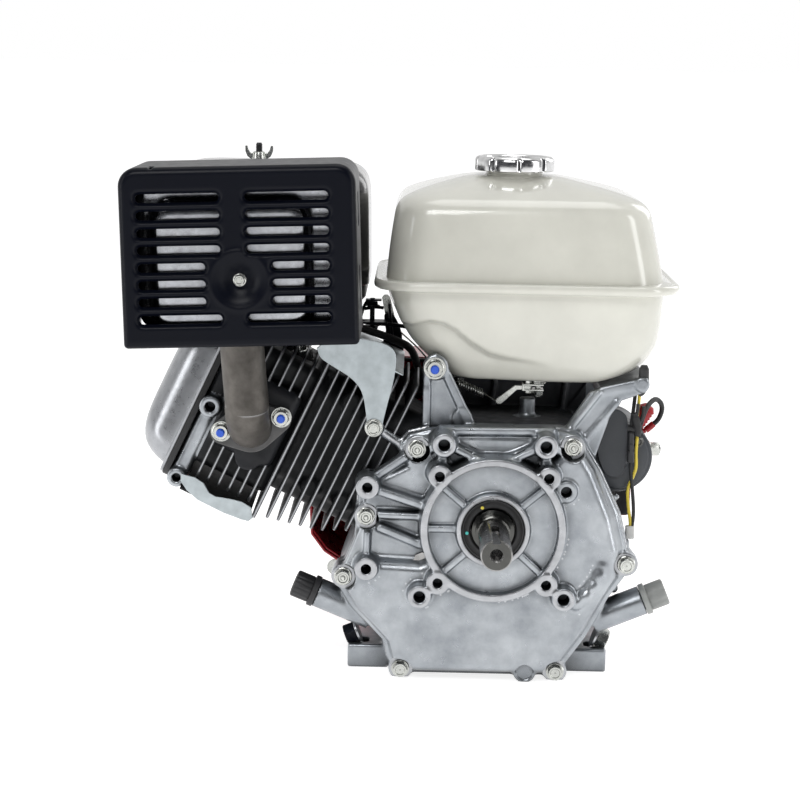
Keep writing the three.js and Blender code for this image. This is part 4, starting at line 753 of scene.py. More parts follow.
def cover_casting():
    c = Cast((-136, 0, -138), (126, 42, 92), 0.75)
    rim = [(x * 0.985, z * 0.985) for x, z in CASE_OUTLINE]
    c.add(f_prism(rim, 30, 42, 1.5))
    c.add(f_prism([(x * 0.93 + 0.4, z * 0.93) for x, z in CASE_OUTLINE], 25, 40, 4, 0.25), 3)
    c.add(f_prism(COVER_WALL, 15, 40, 7, 0.16), 5)
    for x, z in COVER_BOLTS:
        c.add(f_round(x, z, 10, 28, 42, 1.0, 0.03), 3)
    c.add(f_round(30, -124.5, 9.5, 20, 42, 1.2, 0.04), 3)
    c.add(f_round(60, 32, 9, 11, 36, 1.2, 0.05), 3)
    # walls and ribs round the flange
    c.add(f_round(0, 0, 60, 0.4, 34, 0.8, 0.06), 2.5)
    for x, z in RING_HOLES:
        c.add(f_round(x, z, 9.5, 0.4, 30, 0.8, 0.08), 2.5)
    for a, b, width, y0 in [
        (MOUNT_BOSSES[0], (10, 56), 6, 8), (MOUNT_BOSSES[1], (-10, 56), 6, 8),
        (MOUNT_BOSSES[0], (58, 64), 7, 14), (MOUNT_BOSSES[1], (-60, 62), 7, 14),
        (MOUNT_BOSSES[0], (44, 44), 8, 10), (MOUNT_BOSSES[1], (-44, 44), 8, 10),
        ((-47, 79), (51, 80), 7, 22), ((-98, 30), (-56, 17), 7, 13), ((-98, 8.5), (-56, 7.5), 6, 16),
        ((-96, -2), (-58, -17), 7, 17), ((-104.5, -30), (-104, -6), 5, 17), ((-106, 34), (-66, 62), 7, 22),
        ((-106, -4), (-120, -40), 8, 26),
    ]:
        c.add(f_wall(a, b, width, y0, 38, 2.4), 4)
    arc = [(71, -63), (79, -57), (85, -49), (89.5, -40), (91.5, -32)]
    for i, (a, b) in enumerate(zip(arc, arc[1:])):
        c.add(f_bar((a[0], 15.4 + 0.9 * i, a[1]), (b[0], 16.3 + 0.9 * i, b[1]), 5.6 - 0.35 * i,
                    5.25 - 0.35 * i), 4)
    for x, z in MOUNT_BOSSES:
        c.add(f_round(x, z, 9.6, 0, 32, 0.7, 0.05), 3)
    for x, z in SIDE_BOSSES:
        c.add(f_round(x, z, 9.6, 8, 36, 0.7, 0.05), 3)
    # pockets beside the flange, above it
    pocket = [(-42, 50), (-30, 54), (-14, 62), (-28, 66), (-40, 62)]
    for side in (1, -1):
        c.cut(f_prism([(side * x, z) for x, z in pocket], 14, 22, 2), 2)
    c.cut(f_prism([(-36, 77), (-18, 64), (-6, 62.5), (6, 62.5), (18, 64), (38, 77)], 8, 21.5, 2.5), 3)
    # the recess
    c.cut(f_round(0, 0, 54, -4, 10, 1.5), 0.6)
    c.add(f_round(0, 0, 30.4, 1.2, 20, 0.9, 0.06), 2.5)
    for angle in (40, 140, 180, 222, 318):
        c.add(f_wall(on_circle(56, angle), on_circle(110, angle), 6, 5.4, 14, 1.8), 2)
    # bolt seats, holes
    for x, z in COVER_BOLTS:
        c.cut(f_round(x, z, 10.6, 6, 28, 0.5), 1.0)
        c.cut(f_round(x, z, 4.3, 20, 50, 0.1), 0)
    for x, z in MOUNT_BOSSES:
        c.cut(f_round(x, z, 4.7, -5, 18, 0.2), 0.5)
        c.cut(f_bar((x, -0.5, z), (x, 1.2, z), 6.3, 4.4, True), 0)
    for x, z in SIDE_BOSSES:
        c.cut(f_round(x, z, 4.2, 0, 26, 0.2), 0.5)
    for x, z in RING_HOLES:
        c.cut(f_round(x, z, 4.1, -5, 16, 0.2), 0.4)
    c.cut(f_round(60, 32, 4.5, 5, 24, 0.3), 0.5)
    c.cut(f_round(30, -124.5, 7.2, 10, 20.9, 0.3), 0.8)
    c.cut(f_round(0, 0, 26.2, -4, 12, 0.3), 0.4)
    c.cut(f_round(0, 0, 20, 8, 60, 0.3), 0.4)
    c.cut(f_prism([(x * 0.84, z * 0.84) for x, z in CASE_OUTLINE], 26, 60, 3), 1)
    c.add(f_round(0, 0, 42, 16, 37, 1), 1)
    c.cut(f_round(0, 0, 36.2, 20, 60, 0.3), 0.3)
    c.cut(f_round(0, 0, 20, 8, 60, 0.3), 0.3)
    return c.shape()


def machined_slots(shape, tests):
    """Gives faces that lie on a machined plane the second material."""
    v = shape.verts
    f = np.array([q[:4] for q in shape.faces])
    centre = v[f].mean(1)
    normal = np.cross(v[f[:, 2]] - v[f[:, 0]], v[f[:, 3]] - v[f[:, 1]])
    normal /= np.linalg.norm(normal, axis=1)[:, None] + 1e-9
    slots = np.zeros(len(f), int)
    for test in tests:
        slots[test(centre, np.abs(normal))] = 1
    return Shape(v, shape.faces, slots.tolist())


def near_any(centre, spots, radius):
    hit = np.zeros(len(centre), bool)
    for x, z in spots:
        hit |= np.hypot(centre[:, 0] - x, centre[:, 2] - z) < radius
    return hit


cover = machined_slots(cover_casting(), [
    lambda c, n: (c[:, 1] < 0.75) & (n[:, 1] > 0.9),
    lambda c, n: (c[:, 1] < 2.0) & (n[:, 1] > 0.9) & (np.hypot(c[:, 0], c[:, 2]) < 32),
    lambda c, n: (np.abs(c[:, 1] - 8) < 0.8) & (n[:, 1] > 0.9) & near_any(c, SIDE_BOSSES, 10),
    lambda c, n: (np.abs(c[:, 1] - 28) < 0.8) & (n[:, 1] > 0.9) & near_any(c, COVER_BOLTS, 10.5),
])
piece("cover_casting", cover, [CAST, MACHINED], replaces=["crankcase_cover"], slot="cast_aluminium", sharp=60)


def crankcase_casting():
    c = Cast((-150, 36, -134), (150, 200, 142), 1.1)
    c.add(f_prism(CASE_OUTLINE, 42.3, 165, 2.0))
    c.add(f_prism(CASE_OUTLINE, 42.3, 52, 1.2), 2)
    for x, z in COVER_BOLTS:
        c.add(f_round(x, z, 10, 42.3, 66, 2, -0.05), 4)
    for x0, x1 in ((-120, -85), (66, 101)):
        c.add(f_box(x0, x1, 54, 194, -133, -113, 1.6), 3)
        for y0 in (60, 110, 160):
            c.add(f_wall(((x0 + x1) / 2 - 14 * np.sign(x0), -112), (0, -80), 7, y0 - 3.5, y0 + 3.5, 1.5), 5)
    c.add(f_box(-88, 68, 62, 165, -133, -122, 2), 4)
    c.add(f_bar((-100, 60, -88), (-147, 60, -69), 12.5, 12.5, True), 5)
    c.add(f_bar((88, 60, -88), (131, 60, -70), 12.5, 12.5, True), 5)
    c.add(f_round(0, 0, 46, 150, 170, 2), 3)
    # left tank leg, a flanged plate
    leg = [(-60, 50), (-60, 128), (-57, 137), (-50, 141), (-43, 137), (-39, 128), (-14, 78), (-14, 50)]
    c.add(f_prism(leg, 46, 54, 1.5), 2)
    c.cut(f_prism([(-54, 60), (-54, 122), (-44, 122), (-24, 80), (-24, 60)], 40, 49.5, 2), 2)
    c.add(f_box(-60, -54, 46, 80, 50, 112, 1.5), 2)
    c.add(f_round(-50, 129, 10.5, 45, 56, 1), 2)
    c.add(f_bar((-27, 47, 86), (-27, 54, 86), 8, 8, True), 3)
    # right arm and its shelf
    arm = [(52, 60), (57, 76), (80, 111), (92, 115), (127, 124), (127, 112), (115, 107), (101, 102), (84, 50)]
    c.add(f_prism(arm, 46, 54, 1.5), 2)
    c.add(f_wall((57, 70), (88, 112), 5, 43.5, 54, 1.5), 2)
    c.add(f_wall((70, 62), (104, 104), 5, 44.5, 54, 1.5), 2)
    c.add(f_prism([(86, 107), (88, 115), (127, 124), (127, 116)], 46, 156, 1.5), 2)
    c.add(f_prism([(52, 60), (92, 115), (112, 120), (84, 50)], 148, 156, 1.5), 2)
    c.add(f_prism([(-50, 70), (-49, 100), (-40, 106), (58, 108), (74, 112), (92, 115), (84, 60)], 150, 156,
                  1.5), 2)
    for x in (-30, 0, 34, 62):
        c.add(f_wall((x, 76), (x + 4, 105), 4, 144, 153, 1.2), 3)
    c.add(f_round(123, 118, 6, 44, 52, 1), 2)
    c.add(f_bar((30, 100, 70), (30, 100, 97), 7.5, 6.6, True), 4)
    # a web to the fins, side ribs
    c.add(f_bar((-102, 44, 80), (-76, 46, 62), 4.5), 3)
    c.add(f_bar((-100.5, 33, 80), (-100.5, 60, 80), 8, 8, True), 3)
    for z in (20, -20, -60):
        c.add(f_bar((114 - abs(z + 20) * 0.2, 60, z), (112 - abs(z + 20) * 0.2, 160, z), 4), 4)
    c.cut(f_round(110, 46, 34.5, 58, 220, 1), 2)
    c.cut(f_bar((-94, 60, -90.4), (-150, 60, -67.8), 9.3, 9.3, True), 0.5)
    c.cut(f_bar((82, 60, -90.5), (134, 60, -68.7), 9.3, 9.3, True), 0.5)
    c.cut(f_prism([(x * 0.88, z * 0.88) for x, z in CASE_OUTLINE], 30, 152, 4), 1)
    c.cut(f_round(0, 0, 36.3, 140, 180, 0.5), 0.5)
    tilt = math.radians(TILT)
    axis = lambda u: (-u * math.cos(tilt), CYLINDER_Y, u * math.sin(tilt))
    c.cut(f_bar(axis(40), axis(200), 45, 45, True), 0.5)
    for x in (-107, 88):
        for y in (71.5 - 3, 71.5 + 3, 176.5 - 3, 176.5 + 3):
            c.cut(f_bar((x, y, -140), (x, y, -100), 5.5, 5.5, True), 0.5)
    return c.shape()


case = machined_slots(crankcase_casting(), [
    lambda c, n: (c[:, 1] < 43.2) & (n[:, 1] > 0.9),
    lambda c, n: (c[:, 2] < -131.8) & (n[:, 2] > 0.9),
])
x, y, z = face_middles(case).T
# faces on the crankcase's top between the leg and the arm take the near-black copy: painted shade
shaded = (y > 56) & (z > 62) & (x < 84) & (np.hypot(x - 30, y - 100) > 12)
case.slots = np.where(shaded, 2, case.slots).tolist()
piece("crankcase_casting", case, [CAST_ROUGH, MACHINED, CAST_IN_PAINTED_SHADE], replaces=["crankcase"],
      slot="cast_aluminium",
      sharp=60)


# ------------------------------------------------------------------ bolts on the cover
for i, (x, z) in enumerate(COVER_BOLTS):
    head = merge(
        hex_head(11.2, 7.6, 0.2 + i * 0.7, 7.6, 1.5, (0.62, 1.0)).moved(x, 27.7, z),
        stud_end(*((2.2, 1.4) if i < 4 else (1.2, 0.8))).moved(x, 21.1, z),
        lathe([(3.9, 27.2), (3.9, 58), (0, 58)], 12).moved(x, 0, z),
    )
    fastener(f"cover_bolt_detail_{i + 1}", head, replaces=[f"cover_bolt_{i + 1}"])

# ------------------------------------------------------------------ shaft, seal
WEB = [(56 * math.cos(a), 56 * math.sin(a)) for a in np.radians(np.linspace(205, 335, 14))] + [
    (24, 30), (20, 44), (12, 51), (0, 53.5), (-12, 51), (-20, 44), (-24, 30)]
web_turn = Matrix.Rotation(math.radians(TILT - 90), 3, "Y")
GEAR_MODULE = 2 * math.hypot(58, 32) / 36


def gear_outline(teeth, start):
    pitch, root, tip = 2 * math.pi / teeth, (teeth / 2 - 1.2) * GEAR_MODULE, (teeth / 2 + 0.75) * GEAR_MODULE
    return [(r * math.cos(start + (i + s) * pitch), r * math.sin(start + (i + s) * pitch))
            for i in range(teeth) for r, s in ((root, -0.23), (tip, -0.08), (tip, 0.08), (root, 0.23))]


shaft = lathe([
    (0, -64), (4.2, -64), (4.2, -86.6), (5.4, -88), (11.6, -88), (12.7, -86.8), (12.7, -7.2), (13.2, -6.8),
    (14.8, -6.2), (14.8, 1), (17.5, 2), (17.5, 44), (20, 54), (20, 63), (0, 63),
], 72)
shaft.slots = [1 if c[1] > -12 or c[1] < -87.4 else 0 for c in face_middles(shaft)]
shaft = piece("crankshaft_front_detail", shaft, [STEEL, DARK_STEEL], body="crankshaft", slot="machined_steel",
              replaces=["crankshaft_front"], bevel=0.25)
boolean(shaft, box(-3.2, 3.2, -90, -38, 9.4, 16))
boolean(shaft, lathe([(3.2, -4), (3.2, 4)], 24).spun(90, "X").moved(0, -38, 11.4))
piece("crankshaft_web_and_gear", merge(
    prism(gear_outline(12, math.atan2(-32, -58)), 44.2, 53.8), prism(WEB, 63.2, 84).turned(web_turn)),
    STEEL, body="crankshaft", slot="machined_steel", bevel=0.4)

seal = lathe([
    (26, 10), (26, 2.6), (25.4, 2.0), (24.4, 2.0), (23.8, 2.8), (22.2, 3.2), (20.8, 2.6), (19.9, 2.4),
    (19.0, 3.4),
    (18.4, 5.2), (18.4, 10),
], 72)
piece("oil_seal_detail", strip([seal.verts.reshape(-1, 72, 3)[i] for i in list(range(11)) + [0]], True,
                               (False, False)),
      RUBBER, replaces=["oil_seal"], slot="rubber")
for name, angle, r, colour in (("seal_mark_a", 116, 21.3, YELLOW), ("seal_mark_b", 186, 21.6, None)):
    x, z = on_circle(2 * r, angle)
    mark = colour or moulded("teal_marker", (0.05, 0.42, 0.38))
    piece(name, lathe([(0, 2.1), (1.2, 2.15), (1.5, 2.5), (1.5, 2.9)], 10).moved(x, 0.0, z), mark, bevel=0.1)

# ------------------------------------------------------------------ oil filler cap and dipstick
def along(start, end, shape):
    """Places a shape made along -Y so that its y = 0 is at start and it points to end."""
    return shape.facing(np.array(end, float) - np.array(start, float)).moved(*start)


def neck_end(start, end, past):
    a, b = np.array(start, float), np.array(end, float)
    return b + (b - a) / np.linalg.norm(b - a) * past


def oil_cap(start, end, ribs, stick):
    tip = neck_end(start, end, 0.3)
    knurl = lambda r: (lambda a: r * (1 - 0.045 * (0.5 + 0.5 * math.cos(ribs * a)) ** 3))
    rows = [(8.9, 14), (8.9, 0.1), (13.0, 0), (13.5, -0.5), (13.5, -4.2), (12.9, -4.8), (11.0, -5.0),
            (knurl(11.5), -6.2), (knurl(11.5), -19.4), (knurl(10.9), -20.6), (9.4, -20.9), (8.6, -19.6),
            (0.3, -19.6)]
    parts = [strip([ring_of(radius, y, 96) for radius, y in rows])]
    if stick:
        parts.append(tube([(0, 13, 0), (0, 52, 0)], 2.6, 10))
    return [along(tip, np.array(tip) + (np.array(end) - np.array(start)), p) for p in parts]


LEFT_NECK = ((-100, 60, -88), (-147, 60, -69))
RIGHT_NECK = ((88, 60, -88), (131, 60, -70))
piece("oil_cap_detail", merge(*oil_cap(*LEFT_NECK, 16, False)), PLASTIC, body="oil_filler_cap", sharp=30,
      replaces=["oil_filler_cap"], slot="black_plastic")
piece("dipstick_detail", merge(*oil_cap(*RIGHT_NECK, 8, True)), GREY_PLASTIC, body="dipstick", sharp=30,
      replaces=["dipstick"], slot="grey_plastic")

# ------------------------------------------------------------------ cylinder: barrel core, fins
def fin(u, v0, v1, y0, y1, thickness, radius=9.0):
    """One fin: black faces, and a bare edge all round."""
    outline = rounded(v1 - v0, y1 - y0, radius, 5, (v0 + v1) / 2, (y0 + y1) / 2)
    n = len(outline)
    flat = np.array(outline)
    inner = np.array(rounded(v1 - v0 - 0.8, y1 - y0 - 0.8, radius - 0.3, 5, (v0 + v1) / 2, (y0 + y1) / 2))
    half = thickness / 2
    rings = []
    for o, du in ((inner, -half), (flat, -half * 0.45), (flat, half * 0.45), (inner, half)):
        rings.append(np.stack([o[:, 0], o[:, 1], np.full(n, u + half + du)], 1))
    s = strip(rings)
    s.slots = [0] * n + [1] * n + [0] * n + [0, 0]
    return s


def barrel_fins():
    low_ends = (-64, -68, -71, -74, -76, -78, -80, -82)
    return merge(*[fin(105 + 9.3 * i, low_ends[i], 76, 43 if i < 2 else 36, 160, 2.4) for i in range(8)])


def barrel_core():
    c = Cast((-66, 50, 64), (56, 158, 182), 1.6)
    c.add(f_box(-52, 52, 52, 156, 44, 202, 22), 3)
    c.add(f_box(-64, 0, 70, 138, 58, 194, 14), 8)
    for v, u in ((-44, 150), (38, 150), (-44, 120), (30, 128)):
        c.add(f_round(v, u, 8, 50, 120, 2), 4)
    c.cut(f_bar((0, CYLINDER_Y, 30), (0, CYLINDER_Y, 210), 45, 45, True), 0.3)
    c.cut((lambda x, y, z: 0 * x + 0 * y + 180 - z, (-70, 40, 175), (60, 170, 200)), 0)
    return c.shape()


piece("barrel_fins", barrel_fins(), [FIN_BLACK, FIN_EDGE], place=CYLINDER, slot="black_fins", sharp=25)
piece("barrel_core", barrel_core(), FIN_BLACK, place=CYLINDER, replaces=["cylinder"], slot="black_fins",
      sharp=60)

# ------------------------------------------------------------------ cylinder head
PORT_X, PORT_Z = -202.585, 79.02


def head_core():
    c = Cast((-92, 30, 180), (58, 176, 263), 1.0)
    c.add(f_box(-66, 50, 48, 160, 180.6, 250, 8), 3)
    c.add(f_box(-42, 26, 32, 60, 188, 242, 7), 6)
    c.add(f_box(-38, 20, 150, 174, 191, 243, 5), 5)
    for v, u, y0 in ((-40, 208, 33), (12, 236, 33)):
        c.add(f_round(v, u, 11, y0, 60, 1.5), 5)
    c.add(f_box(-90, 54, 48, 160, 246.5, 262, 6), 3)
    c.add(f_round(-16.2, 254.7, 9, 38, 60, 1), 3)
    c.add(f_round(-84, 254.5, 8, 42, 60, 1), 3)
    c.cut(f_round(-16.2, 254.7, 4.2, 30, 56, 0.3), 0.4)
    c.cut(f_round(-84, 254.5, 3.6, 30, 56, 0.3), 0.4)
    c.cut(f_bar((-14, 20, 217), (0, 88, 211), 13, 13, True), 0.5)
    c.cut(f_bar((-14, 180, 217), (0, 120, 211), 13, 13, True), 0.5)
    c.cut(f_bar((27 + 20 * 0.819, 90, 189.3 + 20 * 0.574), (27 + 90 * 0.819, 90, 189.3 + 90 * 0.574), 14, 14,
                True),
          1)
    c.cut(f_box(-78, 42, 60, 150, 254, 270, 6), 0.5)
    return c.shape()


head_shape = machined_slots(head_core(), [
    lambda c, n: (c[:, 2] > 246.5) & (c[:, 0] < -5) & (c[:, 1] < 130),
])
head_fins = merge(
    fin(180.3, -87, 74, 34, 170, 3.0, 12),
    *[fin(190.3 + 9.6 * i, -77, 58, 36, 170, 2.4, 12) for i in range(6)],
)
piece("head_core", head_shape, [FIN_BLACK, CAST], place=CYLINDER, replaces=["cylinder_head"],
      slot="black_fins",
      sharp=60)
piece("head_fins", head_fins, [FIN_BLACK, FIN_EDGE], place=CYLINDER, slot="black_fins", sharp=25)


COVER_V = -18


def cover_loft(rows, hoop=False):
    """Rounded sections about the valve cover's middle: [u, half width, half depth, corner radius]."""
    return loft([(u, COVER_V - a, COVER_V + a, CYLINDER_Y - b, CYLINDER_Y + b, r) for u, a, b, r in rows],
                10, hoop)


def cover_dome():
    rows = [(268.3, 66, 50, 22), (271, 65.6, 49.6, 22), (280, 63.5, 47.6, 22), (289, 59.5, 44, 22),
            (295.5, 53, 38, 20),
            (299.6, 44, 30, 17), (301.5, 33, 21, 13), (302, 18, 10, 8)]
    inner = [(u - 2.2 * i / 7, a - 2.2 + 1.2 * i / 7, b - 2.2 + 1.2 * i / 7, r - 1) for i,
             (u, a, b, r) in enumerate(rows)]
    return cover_loft(inner[::-1] + rows)


piece("valve_cover_dome", cover_dome(), PRESSED, place=CYLINDER, subdivide=1, replaces=["valve_cover"],
      slot="plated_sheet")
rim = [(268.1, 63.4, 47.4, 16), (268.1, 72, 56, 23), (269.9, 72, 56, 23), (270.4, 71, 55, 23),
       (270.4, 63.4, 47.4, 16)]
piece("valve_cover_rim", cover_loft(rim, True), PRESSED, place=CYLINDER, slot="plated_sheet")
seal = [(262.3, 62, 47, 14), (262.3, 71.6, 56, 22), (262.8, 72.6, 57, 22), (267.3, 72.6, 57, 22),
        (267.8, 71.6, 56, 22),
        (267.8, 62, 47, 14)]
piece("valve_cover_seal", cover_loft(seal, True), RUBBER, place=CYLINDER, replaces=["valve_cover_gasket"],
      slot="rubber")

# ------------------------------------------------------------------ spark plug and its lead
lean = math.radians(55)


def plug_point(t):
    return np.array([27 + t * math.sin(lean), 90, 189.3 + t * math.cos(lean)])


def between(a, b, profile, segments=32):
    """Spins [radius, distance] pairs about the line from a to b."""
    return along(a, b, lathe([(r, -d) for r, d in profile], segments))


piece("spark_plug_detail", merge(
    between(plug_point(-3), plug_point(0), [(0, 0), (6.9, 0.6), (6.9, 24), (10.5, 24.2), (10.5, 25)]),
    along(plug_point(20.5), plug_point(30), hex_head(19, 11, 0, 0, 0, (0.7, 0))),
    between(plug_point(31), plug_point(40), [(5.6, 0), (5.6, 15), (3, 16), (3, 19), (0, 19)])),
    ZINC, place=CYLINDER, replaces=["spark_plug"], slot="machined_steel")
elbow = [plug_point(36), plug_point(50), plug_point(60), plug_point(66) + [0, 2, 0], (82, 95, 209),
         (84, 98, 200)]
piece("spark_plug_cap_detail", tube(elbow, [10.5] * 10 + list(np.linspace(10.3, 5.6, 8)) + [5.5] * 6, 24,
                                    24), RUBBER,
      place=CYLINDER, replaces=["spark_plug_cap"], slot="rubber")
LEAD = [(-63, 178.6, 97), (-63, 173, 98.5), (-64, 167, 108), (-71, 158, 128), (-85, 145, 138),
        (-110, 128, 149),
        (-128, 109, 157), (-142.6, 99.6, 159.6)]
piece("ignition_lead_detail", tube(LEAD, 3.5, 14, 60), RUBBER, replaces=["ignition_lead"], slot="rubber")

# ------------------------------------------------------------------ exhaust
def exhaust_path():
    bend = [(PORT_X - 2 * math.sin(a), 6 + 24 * (1 - math.sin(a)), PORT_Z + 24 * (1 - math.cos(a)))
            for a in np.linspace(0, math.pi / 2, 9)]
    return [(PORT_X, 31, PORT_Z), *bend, (PORT_X - 4.6, 6, PORT_Z + 52), (PORT_X - 7, 6, 160),
            (PORT_X - 7.4, 6, 170)]


pipe = tube(exhaust_path(), 18, 48, 60, ends=False)
inner = tube(exhaust_path(), 15.5, 48, 60, ends=False)
piece("exhaust_pipe_detail", merge(pipe, inner), PIPE_STEEL, replaces=["exhaust_pipe"], slot="exhaust_steel")
EAR_REACH, EAR_R, FLANGE_R = 24.5, 9.5, 21.5
hull = []
for a in np.linspace(0, 2 * math.pi, 96, endpoint=False):
    c, s = math.cos(a), math.sin(a)
    on_ear = abs(c) * EAR_REACH + EAR_R > FLANGE_R
    r = EAR_R if on_ear else FLANGE_R
    hull.append((math.copysign(EAR_REACH if on_ear else 0, c) + r * c, r * s))
piece("exhaust_flange", prism(hull, 24.5, 31.7).spun(-13).moved(PORT_X, 0, PORT_Z), FLANGE_STEEL, bevel=1.0,
      slot="exhaust_steel")
for i, (x, z) in enumerate([(-226.8, 75.2), (-177.1, 87.9)]):
    fastener(f"exhaust_nut_{i + 1}", washer(8.6, 4, 1.5).moved(x, 24.4, z),
             hex_head(11.8, 7.4, 0.4 + i, 7.4, 1.2, (0.6, 0)).moved(x, 22.8, z))
    piece(f"exhaust_stud_{i + 1}", stud_end(3.5, 3.2).moved(x, 15.6, z), BLUE, sharp=28)

# ------------------------------------------------------------------ muffler and its guard
GUARD_W, GUARD_H, GUARD_FRONT, GUARD_BACK, SHEET = 188, 144, -42, 62, 2.2


def guard_slots():
    out = []
    for i in range(8):
        z = 47.5 - 13.8 * i
        near_disc = 3 < i < 7
        out.append((-80.5, -27 if near_disc else -14.5, z))
        out.append((26 if near_disc else 6, 72, z))
    return out


def muffler_guard():
    c = Cast((-95, -43, -73), (95, GUARD_BACK, 73), 0.85)

    def slot_distance(x, z):
        best = np.full(np.broadcast(x, z).shape, 1e3)
        for x0, x1, zc in guard_slots():
            qx = np.abs(x - (x0 + x1) / 2) - ((x1 - x0) / 2 - 3.4)
            best = np.minimum(best, np.hypot(np.maximum(qx, 0), z - zc) - 3.4)
        return best

    upper = [p for p in rounded(GUARD_W, GUARD_H, 15, 8) if p[1] > 0]
    foot = [p for p in rounded(GUARD_W, GUARD_H, 3.5, 4) if p[1] < 0]
    body, lo, hi = f_prism(foot[:5] + upper + foot[5:], GUARD_FRONT, 120, 6)

    def field(x, y, z):
        s = slot_distance(x, z)
        r = np.hypot(x, z + 18.5)
        dish = np.clip((20.5 - r) / 15, 0, 1)
        push = 3.2 * np.exp(-(np.maximum(s, 0) / 1.8) ** 2) + 6.0 * dish * dish * (3 - 2 * dish)
        push -= 0.9 * np.exp(-((r - 23) / 2.2) ** 2)
        fade = np.clip((-24 - y) / 8, 0, 1)
        d = body(x, y - push * fade, z)
        return np.abs(d + SHEET / 2) - SHEET / 2
    c.add((field, lo, (hi[0], GUARD_BACK, hi[2])), 0)
    for x0, x1, z in guard_slots():
        c.cut(f_prism(rounded(x1 - x0, 6.8, 3.35, 6, (x0 + x1) / 2, z), -60, -32, 0.2), 0.4)
    c.cut((lambda x, y, z: GUARD_BACK - y + 0 * x + 0 * z, (-100, 60, -80), (100, 80, 80)), 0)
    c.cut(f_box(-36, 30, -20, 90, -90, -62, 4), 0.4)
    c.cut(f_round(0, -18.5, 4.4, -60, -20, 0.1), 0)
    c.cut(f_box(-69.5, -66.0, -44, -24, 70.6, 80, 1), 0.5)
    c.cut(f_box(-99, -92.6, -34, 70, 46.5, 49.5, 1), 0.5)
    c.cut(f_box(88, 99, 4, 22, 18, 46, 3), 0.5)
    c.cut(f_box(88, 99, 4, 22, -44, -14, 3), 0.5)
    return c.shape()


piece("muffler_guard_detail", muffler_guard(), BLACK_PAINT, place=MUFFLER, replaces=["muffler_guard"],
      slot="black_paint", sharp=70)


def muffler_can():
    c = Cast((-89, -31, -65), (89, 67, 69), 1.5)
    c.add(f_prism(rounded(170, 126, 16, 8, 0, 2), -12, 66, 8), 0)
    c.add(f_prism(rounded(126, 104, 16, 8, -8, -9), -30, 10, 9), 5)
    c.add(f_prism(rounded(176, 132, 28, 8, 0, 2), 20, 24, 1.2), 1.5)
    c.cut(f_bar((0, 6, -75), (0, 6, -52), 15.5, 15.5, True), 0.5)
    return c.shape()


piece("muffler_can", muffler_can(), ALUMINISED, place=MUFFLER, replaces=["muffler_body"],
      slot="aluminised_steel",
      sharp=70)
fastener("muffler_bolt", washer(5.4, 3.1, 1.2).moved(0, -35.2, -18.5),
         hex_head(8, 6.0, 0.1, 5.0, 0.9, (0.55, 1.0)).moved(0, -36.6, -18.5),
         lathe([(3.2, -37), (3.2, -30)], 16).moved(0, 0, -18.5), place=MUFFLER)

# ------------------------------------------------------------------ air cleaner
AIR_X0, AIR_X1, AIR_Y0, AIR_Y1 = -284, -108, 108, 250
AIR_STUD_Y = 178


def air_cover():
    rows = [(188.3, 3, 20), (188.3, 0.6, 23.6), (189.2, 0, 24), (194, 0.2, 24), (260, 1.4, 24),
            (272, 2.2, 24),
            (280, 5, 23), (286, 10.5, 21), (289.6, 18, 18), (291, 28, 15), (291.2, 50, 10)]
    return loft([(z, AIR_X0 + i, AIR_X1 - i, AIR_Y0 + i, AIR_Y1 - i, r) for z, i, r in rows], 8)


piece("air_cover_detail", air_cover(), GLOSS_BLACK, body="air_cleaner_cover", subdivide=1,
      replaces=["air_cleaner_cover"], slot="gloss_black")


def air_base():
    rows = [(170, 14, 18), (171, 10, 20), (176, 5, 20), (178, 3.4, 20), (187, 3.2, 20), (187.7, 3.8, 20)]
    tray = loft([(z, AIR_X0 + i, AIR_X1 - i, AIR_Y0 + i, AIR_Y1 - i, r) for z, i, r in rows], 8)
    duct = tube([(PORT_X, 213.5, PORT_Z), (PORT_X, 222, PORT_Z + 1), (PORT_X, 230, PORT_Z + 8),
                 (PORT_X, 231, PORT_Z + 24),
                 (PORT_X, 230, 150), (PORT_X, 230, 172)],
                 [18] * 8 + list(np.linspace(18, 14, 6)) + [14] * 14, 28, 28)
    stud = stud_end(3, 16).spun(-90, "X").moved(MUFFLER_X, AIR_STUD_Y, 290.5)
    return merge(tray, duct, stud, tube([(MUFFLER_X, AIR_STUD_Y, z) for z in (172, 291)], 2.9, 12))


piece("air_base_detail", air_base(), PLASTIC, replaces=["air_cleaner_base"], slot="black_plastic", bevel=0.6)


def wing_nut():
    wing = [(4.5, 1.2), (9, 1.0), (13.5, 3.5), (16.2, 8.2), (16.4, 12.4), (14.6, 13.2), (13.2, 12.4),
            (12.4, 9.4),
            (9.8, 6.6), (7, 6.4), (4.5, 7.2)]
    parts = [between((0, 0, 0.3), (0, 0, 8), [(3.2, 0), (6.6, 0), (6.6, 1.2), (5.2, 7.2), (3.2, 7.8)], 28)]
    for side in (1, -1):
        flat = np.array(wing) * [side * 0.76, 1]
        parts.append(prism(flat, -1.4, 1.4))
    return merge(*parts).moved(MUFFLER_X, AIR_STUD_Y, 291.2)


piece("wing_nut_detail", wing_nut(), ZINC, body="wing_nut", bevel=0.55, segments=3, replaces=["wing_nut"],
      slot="zinc_steel")

# ------------------------------------------------------------------ fuel tank
CAP_X, CAP_Y = 14, 112


def tank_upper():
    rows = [(199.4, -93, 139, 24, 226, 36), (212, -92, 137, 25, 225, 36), (232, -90, 133, 27, 223, 36),
            (250, -87.6, 129, 29.5, 220.5, 35.5), (261, -85.5, 126, 32, 218, 35),
            (268, -81, 120, 37.5, 212.5, 33),
            (272.5, -73.5, 110, 46, 204, 30), (277.5, -60, 93, 59, 191, 27), (282.5, -42, 71, 76, 174, 24),
            (286, -26, 54, 90, 160, 21), (287.2, -14, 42, 101, 149, 18), (287.3, -6, 34, 108, 142, 12)]
    return loft(smooth_path(rows, 56), 14)


